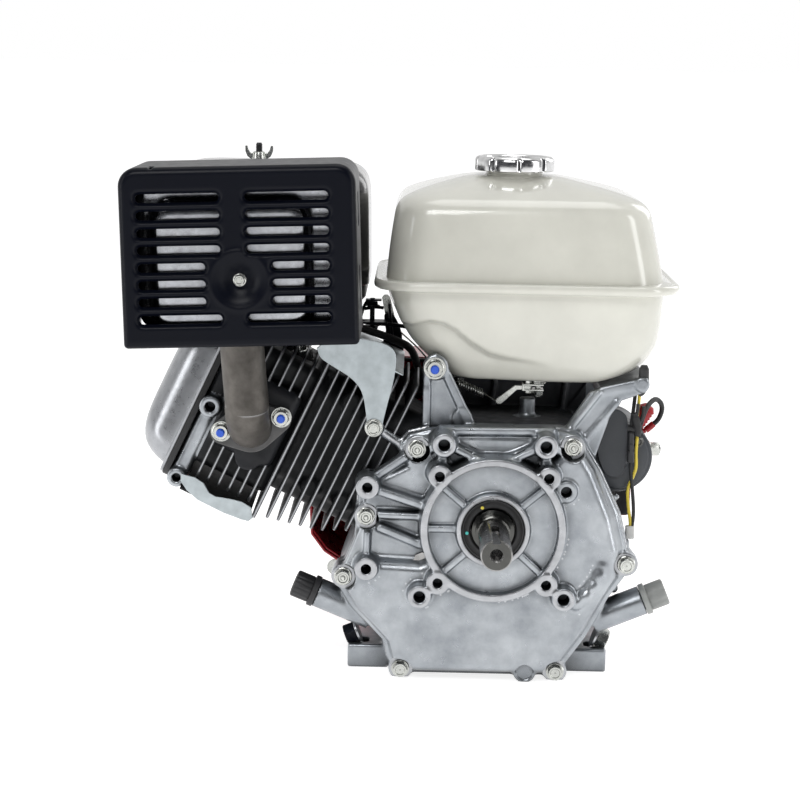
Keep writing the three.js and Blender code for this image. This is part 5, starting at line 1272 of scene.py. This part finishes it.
def dense(outline, count):
    """The closed outline with evenly spaced points."""
    o = np.asarray(list(outline) + [outline[0]], float)
    reach = np.concatenate([[0], np.cumsum(np.hypot(*np.diff(o, axis=0).T))])
    at = np.linspace(0, reach[-1], count, endpoint=False)
    return np.stack([np.interp(at, reach, o[:, 0]), np.interp(at, reach, o[:, 1])], 1)


def tank_lower():
    rows = [(117, 0, 60, 90, 130, 8), (117, -20, 84, 62, 152, 15), (117.6, -32, 96, 55.5, 158, 18),
            (121, -41, 106, 50, 162, 22), (132, -54, 124.5, 42, 167, 30), (147, -69, 135, 36, 178, 34),
            (160, -77.5, 137.6, 32, 190, 35), (172, -83, 138.6, 29, 204, 36), (186, -89, 139, 26, 217, 36),
            (198.6, -93, 139, 24, 226, 36)]
    rings = []
    for z, x0, x1, y0, y1, r in smooth_path(rows, 84):
        flat = dense(rounded(x1 - x0, y1 - y0, r, 16, (x0 + x1) / 2, (y0 + y1) / 2), 260)
        rings.append(np.stack([flat[:, 0], flat[:, 1], np.full(len(flat), z)], 1))
    s = strip(rings)
    v = s.verts
    edge_x = [-110, -70, -56, -45, -34, -22, -6, 6, 28, 60]
    edge_z = [162, 165, 169, 168, 162, 152, 142, 139, 136, 130]
    line = np.interp(v[:, 0], edge_x, edge_z)
    t = np.clip((line + 2.5 - v[:, 2]) / 5.5, 0, 1)
    depth = np.interp(v[:, 0], [-110, -60, -30, 0, 20, 44], [11, 12, 11, 8, 4, 0])
    front = np.clip((110 - v[:, 1]) / 30, 0, 1)
    v[:, 1] += t * t * (3 - 2 * t) * depth * front
    # keeps clear of the leg and of the right arm's shelf
    shelf = np.clip((v[:, 0] - 78) / 10, 0, 1) * (v[:, 2] < 131) * (v[:, 1] < 158)
    v[:, 2] = np.where(shelf > 0, np.maximum(v[:, 2], 117 + shelf * (1 + (v[:, 0] - 84) * 0.26)), v[:, 2])
    return Shape(v, s.faces, s.slots)


def seam_bead():
    rows = [(197.0, 9.5), (196.2, 5), (194.6, 2.4), (194.4, 0.6), (195.6, -1.2), (198, -2.0), (200.6, -1.8),
            (202.4, -0.4),
            (202.8, 1.4), (201.6, 3.4), (202.2, 5.6), (204.2, 9.6)]
    return loft([(z, -101 + i, 150 - i, 17 + i, 233 - i, 40 - i * 0.3) for z, i in rows], 14)


piece("tank_upper_shell", tank_upper(), TANK_PAINT, replaces=["fuel_tank"], slot="tank_paint", sharp=70)
piece("tank_lower_shell", tank_lower(), TANK_PAINT, slot="tank_paint", sharp=70)
piece("tank_seam", seam_bead(), TANK_PAINT, slot="tank_paint", subdivide=1)
piece("tank_neck", between((CAP_X, CAP_Y, 285), (CAP_X, CAP_Y, 290),
                           [(26, 0), (25, 2.6), (24, 3.4), (24, 5), (20, 5), (20, -4)], 64), TANK_PAINT,
      slot="tank_paint")


def fuel_cap():
    def lobed(r, depth):
        def radius(a):
            notch = abs(math.sin(4.5 * a + 0.4))
            return r - depth * (1 - min(1, notch / 0.42)) ** 2 * (notch < 0.42)
        return radius
    rows = [(0, 18.5, 0), (0.1, 33.0, 0), (0.6, 33.8, 1.6), (2.0, 34, 2.4), (8.6, 34, 2.4), (10.4, 33.4, 2.0),
            (11.8, 32.0, 1.0), (12.4, 30.2, 0), (12.4, 28.0, 0), (11.6, 26.4, 0), (10.0, 25.4, 0),
            (9.6, 22.0, 0),
            (10.2, 12.0, 0), (10.4, 0.4, 0)]
    rings = [ring_of(lobed(r, depth), -h, 216) for h, r, depth in rows]
    s = strip(rings, True, (False, True))
    s = s.spun(-90, "X")
    plug = between((0, 0, -14), (0, 0, 0), [(0, 0), (18.0, 0.5), (18.5, 1.5), (18.5, 14.2)], 48)
    return merge(s, plug).moved(CAP_X, CAP_Y, 290.4)


piece("fuel_cap_detail", fuel_cap(), CHROME, body="fuel_cap", replaces=["fuel_cap"], slot="cap_chrome",
      sharp=40)
fastener("tank_nut", washer(9.4, 4, 1.6).moved(-50.6, 45.9, 128.4),
         hex_head(12.6, 7.6, 0.5, 7.6, 1.2, (0.6, 0)).moved(-50.6, 44.3, 128.4))
piece("tank_stud", stud_end(3.7, 3.0).moved(-50.6, 36.9, 128.4), BLUE, sharp=28)

# ------------------------------------------------------------------ sheet shrouds
FACE = [(-149, 145.5), (-145, 137), (-133, 129), (-121, 121.5), (-113, 113), (-109.5, 104), (-107.5, 93),
        (-106.4, 84),
        (-105.6, 78), (-103.4, 74), (-99.4, 72.4), (-95.6, 74), (-93.6, 78.6), (-92.4, 86), (-89, 101),
        (-85.4, 116),
        (-83.4, 128), (-83, 139), (-86, 146), (-95, 151), (-116, 154.5), (-136, 154)]
face_smooth = smooth_path(FACE + [FACE[0]], 110)[:-1]
piece("shroud_face", prism(face_smooth, 30, 31.9), PLATED, replaces=["air_shroud_upper"], slot="plated_sheet",
      bevel=0.5)
top = prism([(79.4, 122.2), (81, 122.2), (81, 176.8), (79.4, 176.8)], 30.2, 168)
piece("shroud_top", top, PLATED, place=CYLINDER, slot="plated_sheet", bevel=0.5)
fastener("shroud_bolt", washer(7.6, 3, 1.2).moved(-100.5, 29.9, 79.6),
         hex_head(9.8, 6.0, 0.3, 6.9, 1.2, (0.66, 1.0)).moved(-100.5, 28.7, 79.6))
LIP = [(-77.2, 252), (-74.8, 240), (-76, 232), (-81.5, 224), (-82, 218), (-78.5, 206), (-76.2, 196),
       (-77.2, 187.4),
       (-85, 182), (-89, 184), (-90.4, 190), (-91.8, 206), (-91.4, 230), (-88, 242), (-83, 250)]
piece("shroud_under_lip", prism(LIP, 33.8, 35.6), PLATED, place=CYLINDER, slot="plated_sheet", bevel=0.5)
# the sheet under the head is near-black: painted shade
piece("shroud_under", prism([(-89.8, 185), (-88.2, 185), (-88.2, 248), (-89.8, 248)], 35, 168), [PAINTED_SHADE_BLACK],
      place=CYLINDER, replaces=["air_shroud_lower"], slot="plated_sheet", bevel=0.5)

# ------------------------------------------------------------------ fan cover and recoil starter
def shell_of(outline, y0, y1, rounding, sheet):
    """A pan of sheet metal, open at y0, whose outside is the outline with a rounded edge at y1."""
    solid, lo, hi = f_prism(outline, y0 - PAN_DEPTH, y1, rounding)
    lo = (lo[0], y0, lo[2])
    return (lambda x, y, z: np.abs(solid(x, y, z) + sheet / 2) - sheet / 2), lo, hi


FAN_OUTLINE = [(114 * math.cos(a), 114 * math.sin(a)) for a in np.radians(np.linspace(-115, 95, 44))] + [
    (-36, 116), (-60, 119), (-80, 119.5), (-97, 116), (-120, 101), (-139, 84), (-151, 52), (-157.5, 20),
    (-159.5, -14), (-158, -42), (-146, -58), (-128, -70), (-112, -80), (-98, -87), (-76, -97),
]


FAN_OPEN, FAN_BACK, FAN_EDGE_R, PAN_DEPTH = 171, 262, 15, 60


def fan_cover():
    c = Cast((-168, 170, -118), (134, 264, 122), 1.3)
    c.add(shell_of(FAN_OUTLINE, FAN_OPEN, FAN_BACK, FAN_EDGE_R, 2.5), 0)
    rim, lo, hi = f_prism(FAN_OUTLINE, FAN_OPEN, 173.6, 0.6)
    c.add((lambda x, y, z: np.maximum(rim(x, y, z) - 4.5, np.abs(y - 172.3) - 1.3), lo, hi), 2)
    c.add(f_box(111, 132, 204, 246, -28, 22, 4), 4)
    c.add(f_round(0, 0, 100, 260, 264, 1.5), 3)
    c.cut(f_round(0, 0, 95.5, 261.6, 270, 0.5), 1)
    c.add(f_round(0, 0, 90, 256, 262, 1.0), 1)
    c.cut(f_prism([(x * 0.955, z * 0.955) for x, z in FAN_OUTLINE], 150, 240, 12), 0.5)
    for x, z in ((-118, 40), (-126, -20)):
        c.add(f_wall((x - 20, z - 4), (x + 12, z + 2), 9, 258, 264, 2.5), 4)
    c.cut(f_round(0, 0, 74, 240, 280, 1), 1)
    c.cut(f_box(110.5, 128, 208, 240, -24, 18, 3), 0.5)
    c.cut(f_box(114, 130, 240, 250, -18, 12, 1.5), 0.4)
    c.cut((lambda x, y, z: 0 * x + FAN_OPEN - y + 0 * z, (-180, 150, -130), (140, FAN_OPEN, 130)), 0)
    return c.shape()


fan_shape = fan_cover()
x, y, z = face_middles(fan_shape).T
within = f_prism(FAN_OUTLINE, FAN_OPEN - PAN_DEPTH, FAN_BACK, FAN_EDGE_R)[0](x, y, z) < -1.3
low_left = (x < -60) & (z < 10)
box_front = (x > 108) & (y < 206)
# the pan's inside and its open rim, except low at the left, and the box's front go near-black: painted shade
dark = ~low_left & (within & (y < 259) | (y < 172.5)) | box_front
fan_shape.slots = np.where(dark, 1, 0).tolist()
piece("fan_cover_detail", fan_shape, [RED_PAINT, PAINTED_SHADE_BLACK], replaces=["fan_cover"], slot="red_paint", sharp=70)
for i, (x, z) in enumerate([(-92, 121), (-161, 40), (-136, -74), (40, -112), (98, 66), (28, 114)]):
    bolt = merge(washer(7.2, 3, 1.2), hex_head(9.8, 5.6, 0.5 + i, 6.8, 1.2, (0.66, 1.0)).moved(0, -1, 0))
    fastener(f"fan_cover_bolt_{i + 1}", bolt.spun(180, "Z").moved(x, 173.4, z))


def outward(x, z, a):
    """Distance from the crankshaft's axis along the direction a."""
    return x * math.cos(a) + z * math.sin(a)


def beside(x, z, a):
    """Distance from the plane through the axis and the direction a."""
    return np.abs(x * -math.sin(a) + z * math.cos(a))


RECOIL_BOLT_R = 89
RECOIL_BOLT_ANGLES = [math.radians(90 + 120 * k) for k in range(3)]


def recoil_shell():
    c = Cast((-97, 261, -97), (97, 322, 97), 1.1)
    solid, lo, hi = f_round(0, 0, 93.5, 200, 317, 16)
    c.add(((lambda x, y, z: np.abs(solid(x, y + 3.5 * np.clip((np.hypot(x, z) - 38) / 45, 0, 1) ** 2,
                                         z) + 1.4) - 1.4),
           (lo[0], 262.3, lo[2]), hi), 0)
    c.add(f_round(0, 0, 95, 262.3, 266, 1), 2.5)
    c.cut(f_round(0, 0, 88, 255, 268, 0.5), 0.5)
    c.add(f_round(0, 0, 38, 313, 319.5, 2.5), 3)
    c.cut(f_round(0, 0, 33, 317.8, 325, 1), 1)
    for i in range(10):
        a = math.radians(36 * i + 18)
        c.cut(f_bar((46 * math.cos(a), 300, 46 * math.sin(a)), (46 * math.cos(a), 330, 46 * math.sin(a)),
                    3.4), 0)
        c.cut((lambda x, y, z, a=a: np.maximum(
            beside(x, z, a) - 3.4,
            np.maximum(46 - outward(x, z, a), outward(x, z, a) - 76)) + 0 * y,
            (-80, 300, -80), (80, 325, 80)), 1)
    for i in range(24):
        a = math.radians(15 * i + 7.5)
        if not 130 < 15 * i + 7.5 < 170:
            c.cut(f_bar((80 * math.cos(a), 277, 80 * math.sin(a)), (80 * math.cos(a), 292, 80 * math.sin(a)),
                        2.2), 0)
            c.cut((lambda x, y, z, a=a: np.maximum(
                np.maximum(beside(x, z, a) - 2.4, np.abs(y - 284.5) - 9), 80 - outward(x, z, a)),
                (-96, 274, -96), (96, 296, 96)), 0.8)
    c.add(f_bar((-66, 286, 60), (-80, 286, 60), 9.5, 9.5, True), 3)
    c.cut(f_bar((-40, 286, 60), (-120, 286, 60), 5, 5, True), 0.5)
    for a in RECOIL_BOLT_ANGLES:
        c.add(f_round(RECOIL_BOLT_R * math.cos(a), RECOIL_BOLT_R * math.sin(a), 7, 262.3, 270, 1), 3)
    return c.shape()


piece("recoil_shell", recoil_shell(), RED_PAINT, replaces=["recoil_housing"], slot="red_paint", sharp=70)
piece("recoil_post", lathe([(0, 270), (8.6, 270), (9, 270.5), (9, 316), (0, 316)], 32), STEEL,
      slot="machined_steel")
for k, a in enumerate(RECOIL_BOLT_ANGLES):
    fastener(f"recoil_bolt_{k + 1}", hex_head(9.8, 5.4, 0.3 + k, 7, 1.3, (0.66, 1.0)).spun(180, "Z").moved(
        RECOIL_BOLT_R * math.cos(a), 270, RECOIL_BOLT_R * math.sin(a)))
piece("recoil_centre_cap", lathe([(0, 320.6), (10, 320.4), (26, 319.0), (31, 318.2), (31.6, 317.2),
                                  (0, 317)], 48),
      PLASTIC,
      slot="black_plastic")

grip_rows = [(38, 3, 3.4, 3), (38.8, 5.2, 5.6, 4.5), (42, 6.2, 6.8, 5.6), (50, 6.5, 7, 6),
             (57, 5.8, 6.4, 5.6),
             (60, 5.6, 6.2, 5.4),
             (63, 5.8, 6.4, 5.6), (70, 6.5, 7, 6), (78, 6.2, 6.8, 5.6), (81.2, 5.2, 5.6, 4.5),
             (82, 3, 3.4, 3)]
piece("recoil_grip_detail", merge(
    loft([(z, -113.5 - a, -113.5 + a, 286 - b, 286 + b, r) for z, a, b, r in grip_rows], 6),
    lathe([(0, 0), (4.4, 0), (5.6, -6), (5.2, -10), (0, -10)], 28).facing((-1, 0, 0)).moved(-97.6, 286, 60)),
    PLASTIC, body="recoil_grip", replaces=["recoil_grip"], slot="black_plastic", subdivide=1)


def twisted(points, radius, strands, turns, count, sides=24):
    """A laid rope: strands wound round its middle."""
    path = np.linspace(points[0], points[1], count)
    rings = []
    for k, p in enumerate(path):
        a = np.arange(sides) * 2 * math.pi / sides
        r = radius * (0.9 + 0.1 * np.abs(np.cos(strands / 2 * (a + turns * 2 * math.pi * k / count))))
        rings.append(np.stack([np.full(sides, p[0]), p[1] + r * np.cos(a), p[2] + r * np.sin(a)], 1))
    return strip(rings)


ROPE = moulded("rope", (0.62, 0.6, 0.55), (0.75, 0.85), 0.5, 0.12)
rope = piece("recoil_rope", twisted([(-66, 286, 60), (-109, 286, 60)], 2.4, 6, 6, 90), ROPE, body=None,
             slot="rubber")
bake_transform(rope)

# ------------------------------------------------------------------ electric starter and its wiring
STARTER = lathe([
    (0, 63.2), (9, 63.2), (9.6, 64.6), (11, 66), (24.5, 66), (26.6, 67), (27.6, 69), (29.6, 69.4), (30, 70.4),
    (30, 76),
    (29.2, 76.8), (29.2, 78), (30, 78.8), (30, 152), (29.2, 153), (29.2, 154), (30, 155), (30, 163),
    (28.4, 166),
    (24, 168),
    (0, 168),
], 72).moved(106, 0, 52)
piece("starter_motor_detail", STARTER, STARTER_PAINT, replaces=["starter_motor"], slot="starter_paint",
      sharp=28)
PLATE = [(86, 88), (91, 92), (103, 94), (110, 91), (113.4, 84.5), (113.8, 68), (112.6, 46), (110.6, 38.6),
         (104.6, 35.4),
         (96.6, 38), (91, 48), (88.6, 58)]
piece("starter_plate", prism(smooth_path(PLATE + PLATE[:1], 60)[:-1], 62.6, 65.2), STARTER_PAINT,
      slot="starter_paint",
      bevel=0.7)
fastener("starter_post", along((127, 110, 52), (147, 110, 52), merge(
    hex_head(13, 11, 0, 0, 0, (0.5, 0)), hex_head(11, 19, 0.2, 0, 0, (0.5, 0)),
    lathe([(3.4, -18.8), (3.4, -20), (0, -20)], 20))))
STUD_FROM, STUD_TO = np.array([118.0, 112, 62]), np.array([134.0, 112, 86])
stud_at = lambda t: STUD_FROM + t * (STUD_TO - STUD_FROM)
fastener(
    "starter_stud",
    between(stud_at(-0.05), stud_at(1), [(0, 0), (8.5, 0.2), (8.5, 9.5), (7.6, 10.2), (0, 10.2)], 32),
    along(stud_at(0.3), stud_at(1), hex_head(10, 5, 0.1, 7, 1.2, (0.5, 0))),
    along(stud_at(0.45), stud_at(1), stud_end(2.8, 9)))
for i, angle in enumerate((40, 220)):
    x, z = 106 + 22 * math.cos(math.radians(angle)), 52 + 22 * math.sin(math.radians(angle))
    fastener(f"starter_bolt_{i + 1}", hex_head(7.2, 3.6, 0.4, 4.8, 1, (0.6, 0.8)).moved(x, 66, z),
             paint=DARK_STEEL)
ribs = [(7.4 if k % 2 else 6.4, 0.4 + 1.55 * k) for k in range(12)]
piece("terminal_boot",
      between(stud_at(0.42), stud_at(1.2), [(5.6, 0), *ribs, (6.2, 19), (4.2, 21.5), (0, 22)], 36),
      RED_RUBBER, slot="rubber", sharp=70)
CABLE = [(122, 57, 72), (125, 63, 84), (131, 78, 94), (139, 95, 98), (145, 104, 94), (147, 109, 87),
         (144.5, 112, 78),
         (138, 112.5, 71.5)]
piece("starter_cable_detail", tube(CABLE, 2.15, 16, 80), RUBBER, replaces=["starter_cable"], slot="rubber")
piece("cable_lug", merge(
    tube([(140.6, 112.3, 74), (138, 112.5, 71.5), (134, 112.3, 68)], 2.9, 14, 10),
    tube([(134, 112.3, 68), (129, 112, 66)], 2.0, 12)),
    RED_RUBBER, slot="rubber", sharp=50)
YELLOW_ROUTE = [(121.4, 54, 112), (122, 58, 104), (121, 60, 88), (121.5, 59, 72), (121, 59, 57.8),
                (121.2, 59, 43.5),
                (115.5, 59, 26.8),
                (116, 58, 12.3), (118.2, 58, -3), (117.4, 58, -12.5)]
piece("yellow_wire", tube(YELLOW_ROUTE, 1.4, 12, 90), YELLOW, slot="rubber")
piece("black_wire_a", tube([(119, 62, 108), (117.6, 60, 94), (116.4, 58, 84), (116.4, 57.6, 74)], 1.6, 12,
                           40),
      RUBBER, slot="rubber")
piece("black_wire_b", tube([(116.4, 57.6, 52), (117.2, 58, 40), (119.4, 58, 22), (120.6, 58, 6),
                            (119.6, 58, -8)],
                           1.5, 12, 50),
      RUBBER, slot="rubber")
piece("connector_cluster", merge(
    tube([(118, 55, 92), (119.6, 55, 86), (121, 56, 80), (121.6, 56.6, 73)],
         [2.6] * 3 + [3.6] * 8 + [3.0] * 5, 16,
         16),
    tube([(113, 57, 79), (117, 56.6, 78.4), (123.6, 57, 77)], 2.6, 14, 10),
    tube([(121, 56, 100), (120.6, 55.6, 94), (119.4, 55.4, 88)], 1.5, 12, 12),
    tube([(126, 57.4, 98), (125.4, 57, 90), (123, 56.6, 84)], 1.5, 12, 12)), RUBBER, slot="rubber", sharp=50)
piece("arm_clip", merge(
    loft([(115, 120.6, 128.2, 47, 53, 2), (117, 120, 128.8, 46, 54, 2.5), (131, 120.4, 128.4, 46, 54, 2.5),
          (134, 122, 127, 48, 53, 2)], 4),
    tube([(124.6, 50, 116), (124.2, 50, 111), (121, 51, 108.6)], 2.0, 12, 10)), PLASTIC, slot="black_plastic",
    bevel=0.4)
piece("connector_box", merge(
    loft([(50, 113.9, 118.8, 53.4, 61.6, 1.2), (50.6, 113.5, 119.2, 53, 62, 1.5),
          (60, 113.5, 119.2, 53, 62, 1.5)],
         3),
    loft([(60.6, 114.1, 118.6, 53.8, 61.4, 1.2), (75, 114.1, 118.6, 53.8, 61.4, 1.2),
          (76, 114.9, 117.8, 54.6, 60.6, 1)], 3),
    box(115, 117.8, 52.2, 53.4, 57, 66)), PLASTIC, slot="black_plastic", bevel=0.35)
piece("white_connector",
      loft([(-16, 114.6, 121.4, 55, 61, 1.2), (-15.4, 114.2, 121.8, 54.6, 61.4, 1.5),
            (-5.6, 114.2, 121.8, 54.6, 61.4, 1.5), (-5, 114.8, 121.2, 55.2, 60.8, 1.2)], 3),
      WHITE_PLASTIC, slot="black_plastic", bevel=0.3)

# ------------------------------------------------------------------ governor and controls
piece("governor_arm_detail", merge(
    between((30, 100, 100.3), (30, 100, 114),
            [(0, 0), (3.6, 0.2), (4, 0.8), (4, 12.6), (3.2, 13.7), (0, 13.7)], 28),
    prism([(25, 103.2), (43.4, 103.2), (43.4, 104.8), (27, 104.8), (27, 107.6), (43.4, 107.6), (43.4, 109.2),
           (25, 109.2)],
          94, 106.5),
    prism([(32, 104.6), (32, 107.6), (19, 107.8), (12.6, 103), (3.4, 95.8), (2.6, 93), (4.2, 91), (7.4, 91.2),
           (20.6, 103.8)],
          95.2, 97.6)), ZINC, body="governor_arm", replaces=["governor_arm"], slot="zinc_steel", bevel=0.4)
fastener(
    "governor_clamp_bolt",
    hex_head(9.8, 5.4, 0.4, 7, 1.2, (0.6, 0)).facing((0, 0, 1)).moved(38.6, 100, 109.3),
    tube([(38.6, 100, 98), (38.6, 100, 111)], 2.6, 14),
    hex_head(9, 4.4, 0.2, 0, 0, (0.6, 0)).facing((0, 0, -1)).moved(38.6, 100, 103), body="governor_arm")


def spring_route():
    turns, steps = 11, 200
    t = np.linspace(0, 1, steps)
    coil = np.stack([-30 + 22 * t, 96 + 3.1 * np.cos(turns * 2 * math.pi * t),
                     109 - 9 * t + 3.1 * np.sin(turns * 2 * math.pi * t)], 1)
    lead = smooth_path([(-80, 167, 142), (-63, 141, 130), (-45, 112, 113), (-34, 99.4, 109.6),
                        tuple(coil[0])], 40)
    end = smooth_path([tuple(coil[-1]), (-4, 98, 97.4), (1.4, 97, 94.4), (4.6, 96.4, 93.2),
                       (6.4, 96.2, 94.2)], 20)
    return np.concatenate([lead[:-1], coil, end[1:]])


spring = piece("governor_spring_detail", tube(spring_route(), 0.75, 8), ZINC, body=None,
               replaces=["governor_spring"],
               slot="machined_steel")
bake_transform(spring)

piece("control_bracket_detail", merge(
    prism(smooth_path([(-97, 122), (-79, 122), (-79.5, 138), (-82, 148), (-88, 157.5), (-95, 158), (-95, 150),
                       (-94, 142), (-97, 130),
                       (-97, 122)], 40)[:-1], 170, 172.5),
    box(-120, -92, 150, 172.4, 151, 153)), BLACK_PAINT, replaces=["control_bracket"], slot="black_paint",
    bevel=0.5)
fastener(
    "control_rods",
    tube([(-106, 162, 144), (-106, 162, 173)], 2.2, 14),
    tube([(-105, 162, 171), (-112, 163, 168), (-117, 160, 153)], 1.4, 10, 20),
    tube([(-91, 164, 168), (-90, 166, 156), (-88, 168, 139)], 1.4, 10, 20),
    tube([(-113, 164, 163), (-104, 165, 164.5), (-96, 165, 164)], 1.5, 10, 12),
    tube([(-119, 160, 152.4), (-104, 158, 151), (-88, 158, 150), (-74, 160, 148)], 1.8, 10, 20),
    hex_head(9, 4, 0.2, 6.6, 1, (0.6, 0)).facing((0, 0, 1)).moved(-106, 162, 166),
    hex_head(9, 4, 0.5, 6.6, 1, (0.6, 0)).facing((0, 0, -1)).moved(-106, 162, 149),
    prism([(-112, 170.6), (-98, 170.6), (-98, 172), (-112, 172)], 158, 167), paint=BLACK_PAINT)
piece("throttle_lever_detail", merge(
    lathe([(0, 184), (6.4, 184), (7, 183.4), (7, 175.8), (6.4, 175.3), (0, 175.3)], 28).moved(-86, 0, 138),
    prism([(-91, 138), (-82, 138), (-90.6, 172), (-93, 174.4), (-96, 174.2), (-98, 171.6)], 178, 180.4)),
    ZINC, body="throttle_lever", replaces=["throttle_lever"], slot="zinc_steel", bevel=0.4)

# ------------------------------------------------------------------ carburettor, choke and fuel valve
FUEL_X, FUEL_Z = PORT_X + 24, PORT_Z - 34


def carburettor():
    c = Cast((PORT_X - 34, 174, PORT_Z - 54), (PORT_X + 36, 215, PORT_Z + 28), 1.1)
    c.add(f_bar((PORT_X, 174.5, PORT_Z), (PORT_X, 213, PORT_Z), 17, 17, True), 0)
    c.add(f_box(PORT_X - 30, PORT_X + 30, 174.5, 182, PORT_Z - 14, PORT_Z + 14, 6), 3)
    c.add(f_bar((PORT_X, 193.5, PORT_Z - 26), (PORT_X, 193.5, PORT_Z - 8), 20, 20, True), 3)
    c.add(f_bar((PORT_X, 193.5, PORT_Z - 48), (PORT_X, 193.5, PORT_Z - 28), 16, 19, True), 1)
    c.add(f_bar((PORT_X, 192, PORT_Z + 10), (PORT_X, 192, PORT_Z + 26), 7, 6.4, True), 3)
    c.add(f_bar((FUEL_X, 195, FUEL_Z), (FUEL_X, 213, FUEL_Z), 8, 8, True), 3)
    c.add(f_bar((PORT_X + 10, 197, FUEL_Z + 4), (FUEL_X, 197, FUEL_Z), 5), 3)
    c.add(f_bar((PORT_X - 16, 190, PORT_Z - 4), (PORT_X - 24, 190, PORT_Z - 4), 4.4), 3)
    c.cut(f_bar((PORT_X, 170, PORT_Z), (PORT_X, 220, PORT_Z), 12, 12, True), 0.6)
    return c.shape()


piece("carburettor_detail", carburettor(), CAST, replaces=["carburettor"], slot="cast_aluminium", sharp=60)
fastener("carburettor_bowl_bolt",
         hex_head(9.8, 6, 0.2, 6.5, 1.2, (0.6, 0)).facing((0, 0, -1)).moved(PORT_X, 193.5, PORT_Z - 48))
piece("choke_lever_detail", merge(
    between((PORT_X, 206, PORT_Z + 18), (PORT_X, 206, PORT_Z + 26),
            [(0, 0), (4, 0.2), (4, 7.6), (3.4, 8), (0, 8)],
            24),
    loft([(PORT_Z + 23, PORT_X - 34, PORT_X + 4, 202, 210, 3.9),
          (PORT_Z + 26, PORT_X - 34, PORT_X + 4, 202, 210, 3.9)], 6),
    between((PORT_X - 30, 206, PORT_Z + 24), (PORT_X - 30, 206, PORT_Z + 36),
            [(0, 0), (4.6, 0.2), (4.2, 5), (5, 10.6), (4, 12), (0, 12)], 28)),
    PLASTIC, body="choke_lever", replaces=["choke_lever"], slot="black_plastic", bevel=0.4)
piece("fuel_valve_detail", merge(
    lathe([(0, 213.3), (6.6, 213.4), (7, 214), (7, 220.4), (6.4, 221), (0, 221)], 32).moved(FUEL_X, 0,
        FUEL_Z),
    prism(rounded(8, 30, 3, 5, FUEL_X, FUEL_Z - 15), 215, 220)), PLASTIC, body="fuel_valve_lever",
    replaces=["fuel_valve_lever"], slot="black_plastic", bevel=0.5)

# ------------------------------------------------------------------ switch, coil, filter
piece("engine_switch_detail", merge(
    loft([(-16, 115.2, 128.8, 245.2, 248, 1), (-15.4, 115, 129, 245, 248, 1), (9.4, 115, 129, 245, 248, 1)],
         3),
    prism([(115.6, -3), (128.4, -3), (128.4, 9.6), (115.6, 9.6)], 247, 251)), RED_RUBBER,
    body="engine_switch",
    replaces=["engine_switch"], slot="black_plastic", bevel=0.6)
laminations = merge(*[box(-76, -50, 180.2 + 1.0 * k, 180.9 + 1.0 * k, 88, 104) for k in range(20)],
                    box(-75.4, -50.6, 180.4, 199.8, 88.4, 103.6),
                    *[box(x0, x1, 180.2, 199.8, z0, 90) for x0, x1, z0 in ((-76, -69, 76), (-57, -50, 86))])
piece("ignition_coil_detail", merge(laminations, loft(
    [(86.4, -71, -55, 177.6, 203, 4), (88, -73, -53, 176.4, 204, 5), (102, -73, -53, 176.4, 204, 5),
     (105, -71, -55, 178, 202, 4)], 5)),
    PLASTIC, replaces=["ignition_coil"], slot="black_plastic", bevel=0.3)


def pleats():
    outer = np.array(rounded(132, 102, 22, 60, -196, 179))
    inner = np.array(rounded(84, 58, 12, 60, -196, 179))
    wave = np.abs(((np.arange(len(outer)) * 0.5) % 2) - 1)[:, None]
    fold = outer * (1 - 0.03 * wave) + np.array([[-196, 179]]) * 0.03 * wave
    rings = []
    for flat, z in ((inner, 188.6), (fold, 188.6), (fold, 276.6), (inner, 276.6), (inner, 188.6)):
        rings.append(np.stack([flat[:, 0], flat[:, 1], np.full(len(flat), z)], 1))
    return strip(rings, True, (False, False))


piece("filter_pleats", pleats(), PAPER, replaces=["air_filter_element"], slot="filter_paper", sharp=30)

# ------------------------------------------------------------------ drain plugs in the base
for name, x, z, paint in (("drain_plug_left", -123.5, -109.7, BLACK_PAINT),
                          ("drain_plug_right", 103.7, -109.4, ZINC)):
    side = math.copysign(1, x)
    seat = (x - side * 11, 70, z + 4.4)
    fastener(name, along(seat, (x, 70, z), hex_head(16.6, 10.5, 0.2, 0, 0, (0.62, 1.2))), paint=paint)
    piece(f"{name}_washer", along((x - side * 12.6, 70, z + 5.0), (x, 70, z), washer(11, 5, 2)), MACHINED,
          slot="zinc_steel")

# ------------------------------------------------------------------ finishes for the parts inside
for material, names in (
    (STEEL, "main_bearing_front main_bearing_rear crankshaft_rear camshaft crankpin exhaust_valve "
            "intake_valve exhaust_rocker intake_rocker exhaust_pushrod intake_pushrod"),
    (CAST_ROUGH, "flywheel connecting_rod"), (MACHINED, "piston"), (GREY_PLASTIC, "starter_pulley"),
):
    for name in names.split():
        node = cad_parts[name]
        node.data.materials.clear()
        node.data.materials.append(material)
        edge = node.modifiers.new("edge", "BEVEL")
        edge.width = 0.35 * MM
        edge.segments = 2
        edge.limit_method = "ANGLE"
        edge.angle_limit = math.radians(40)
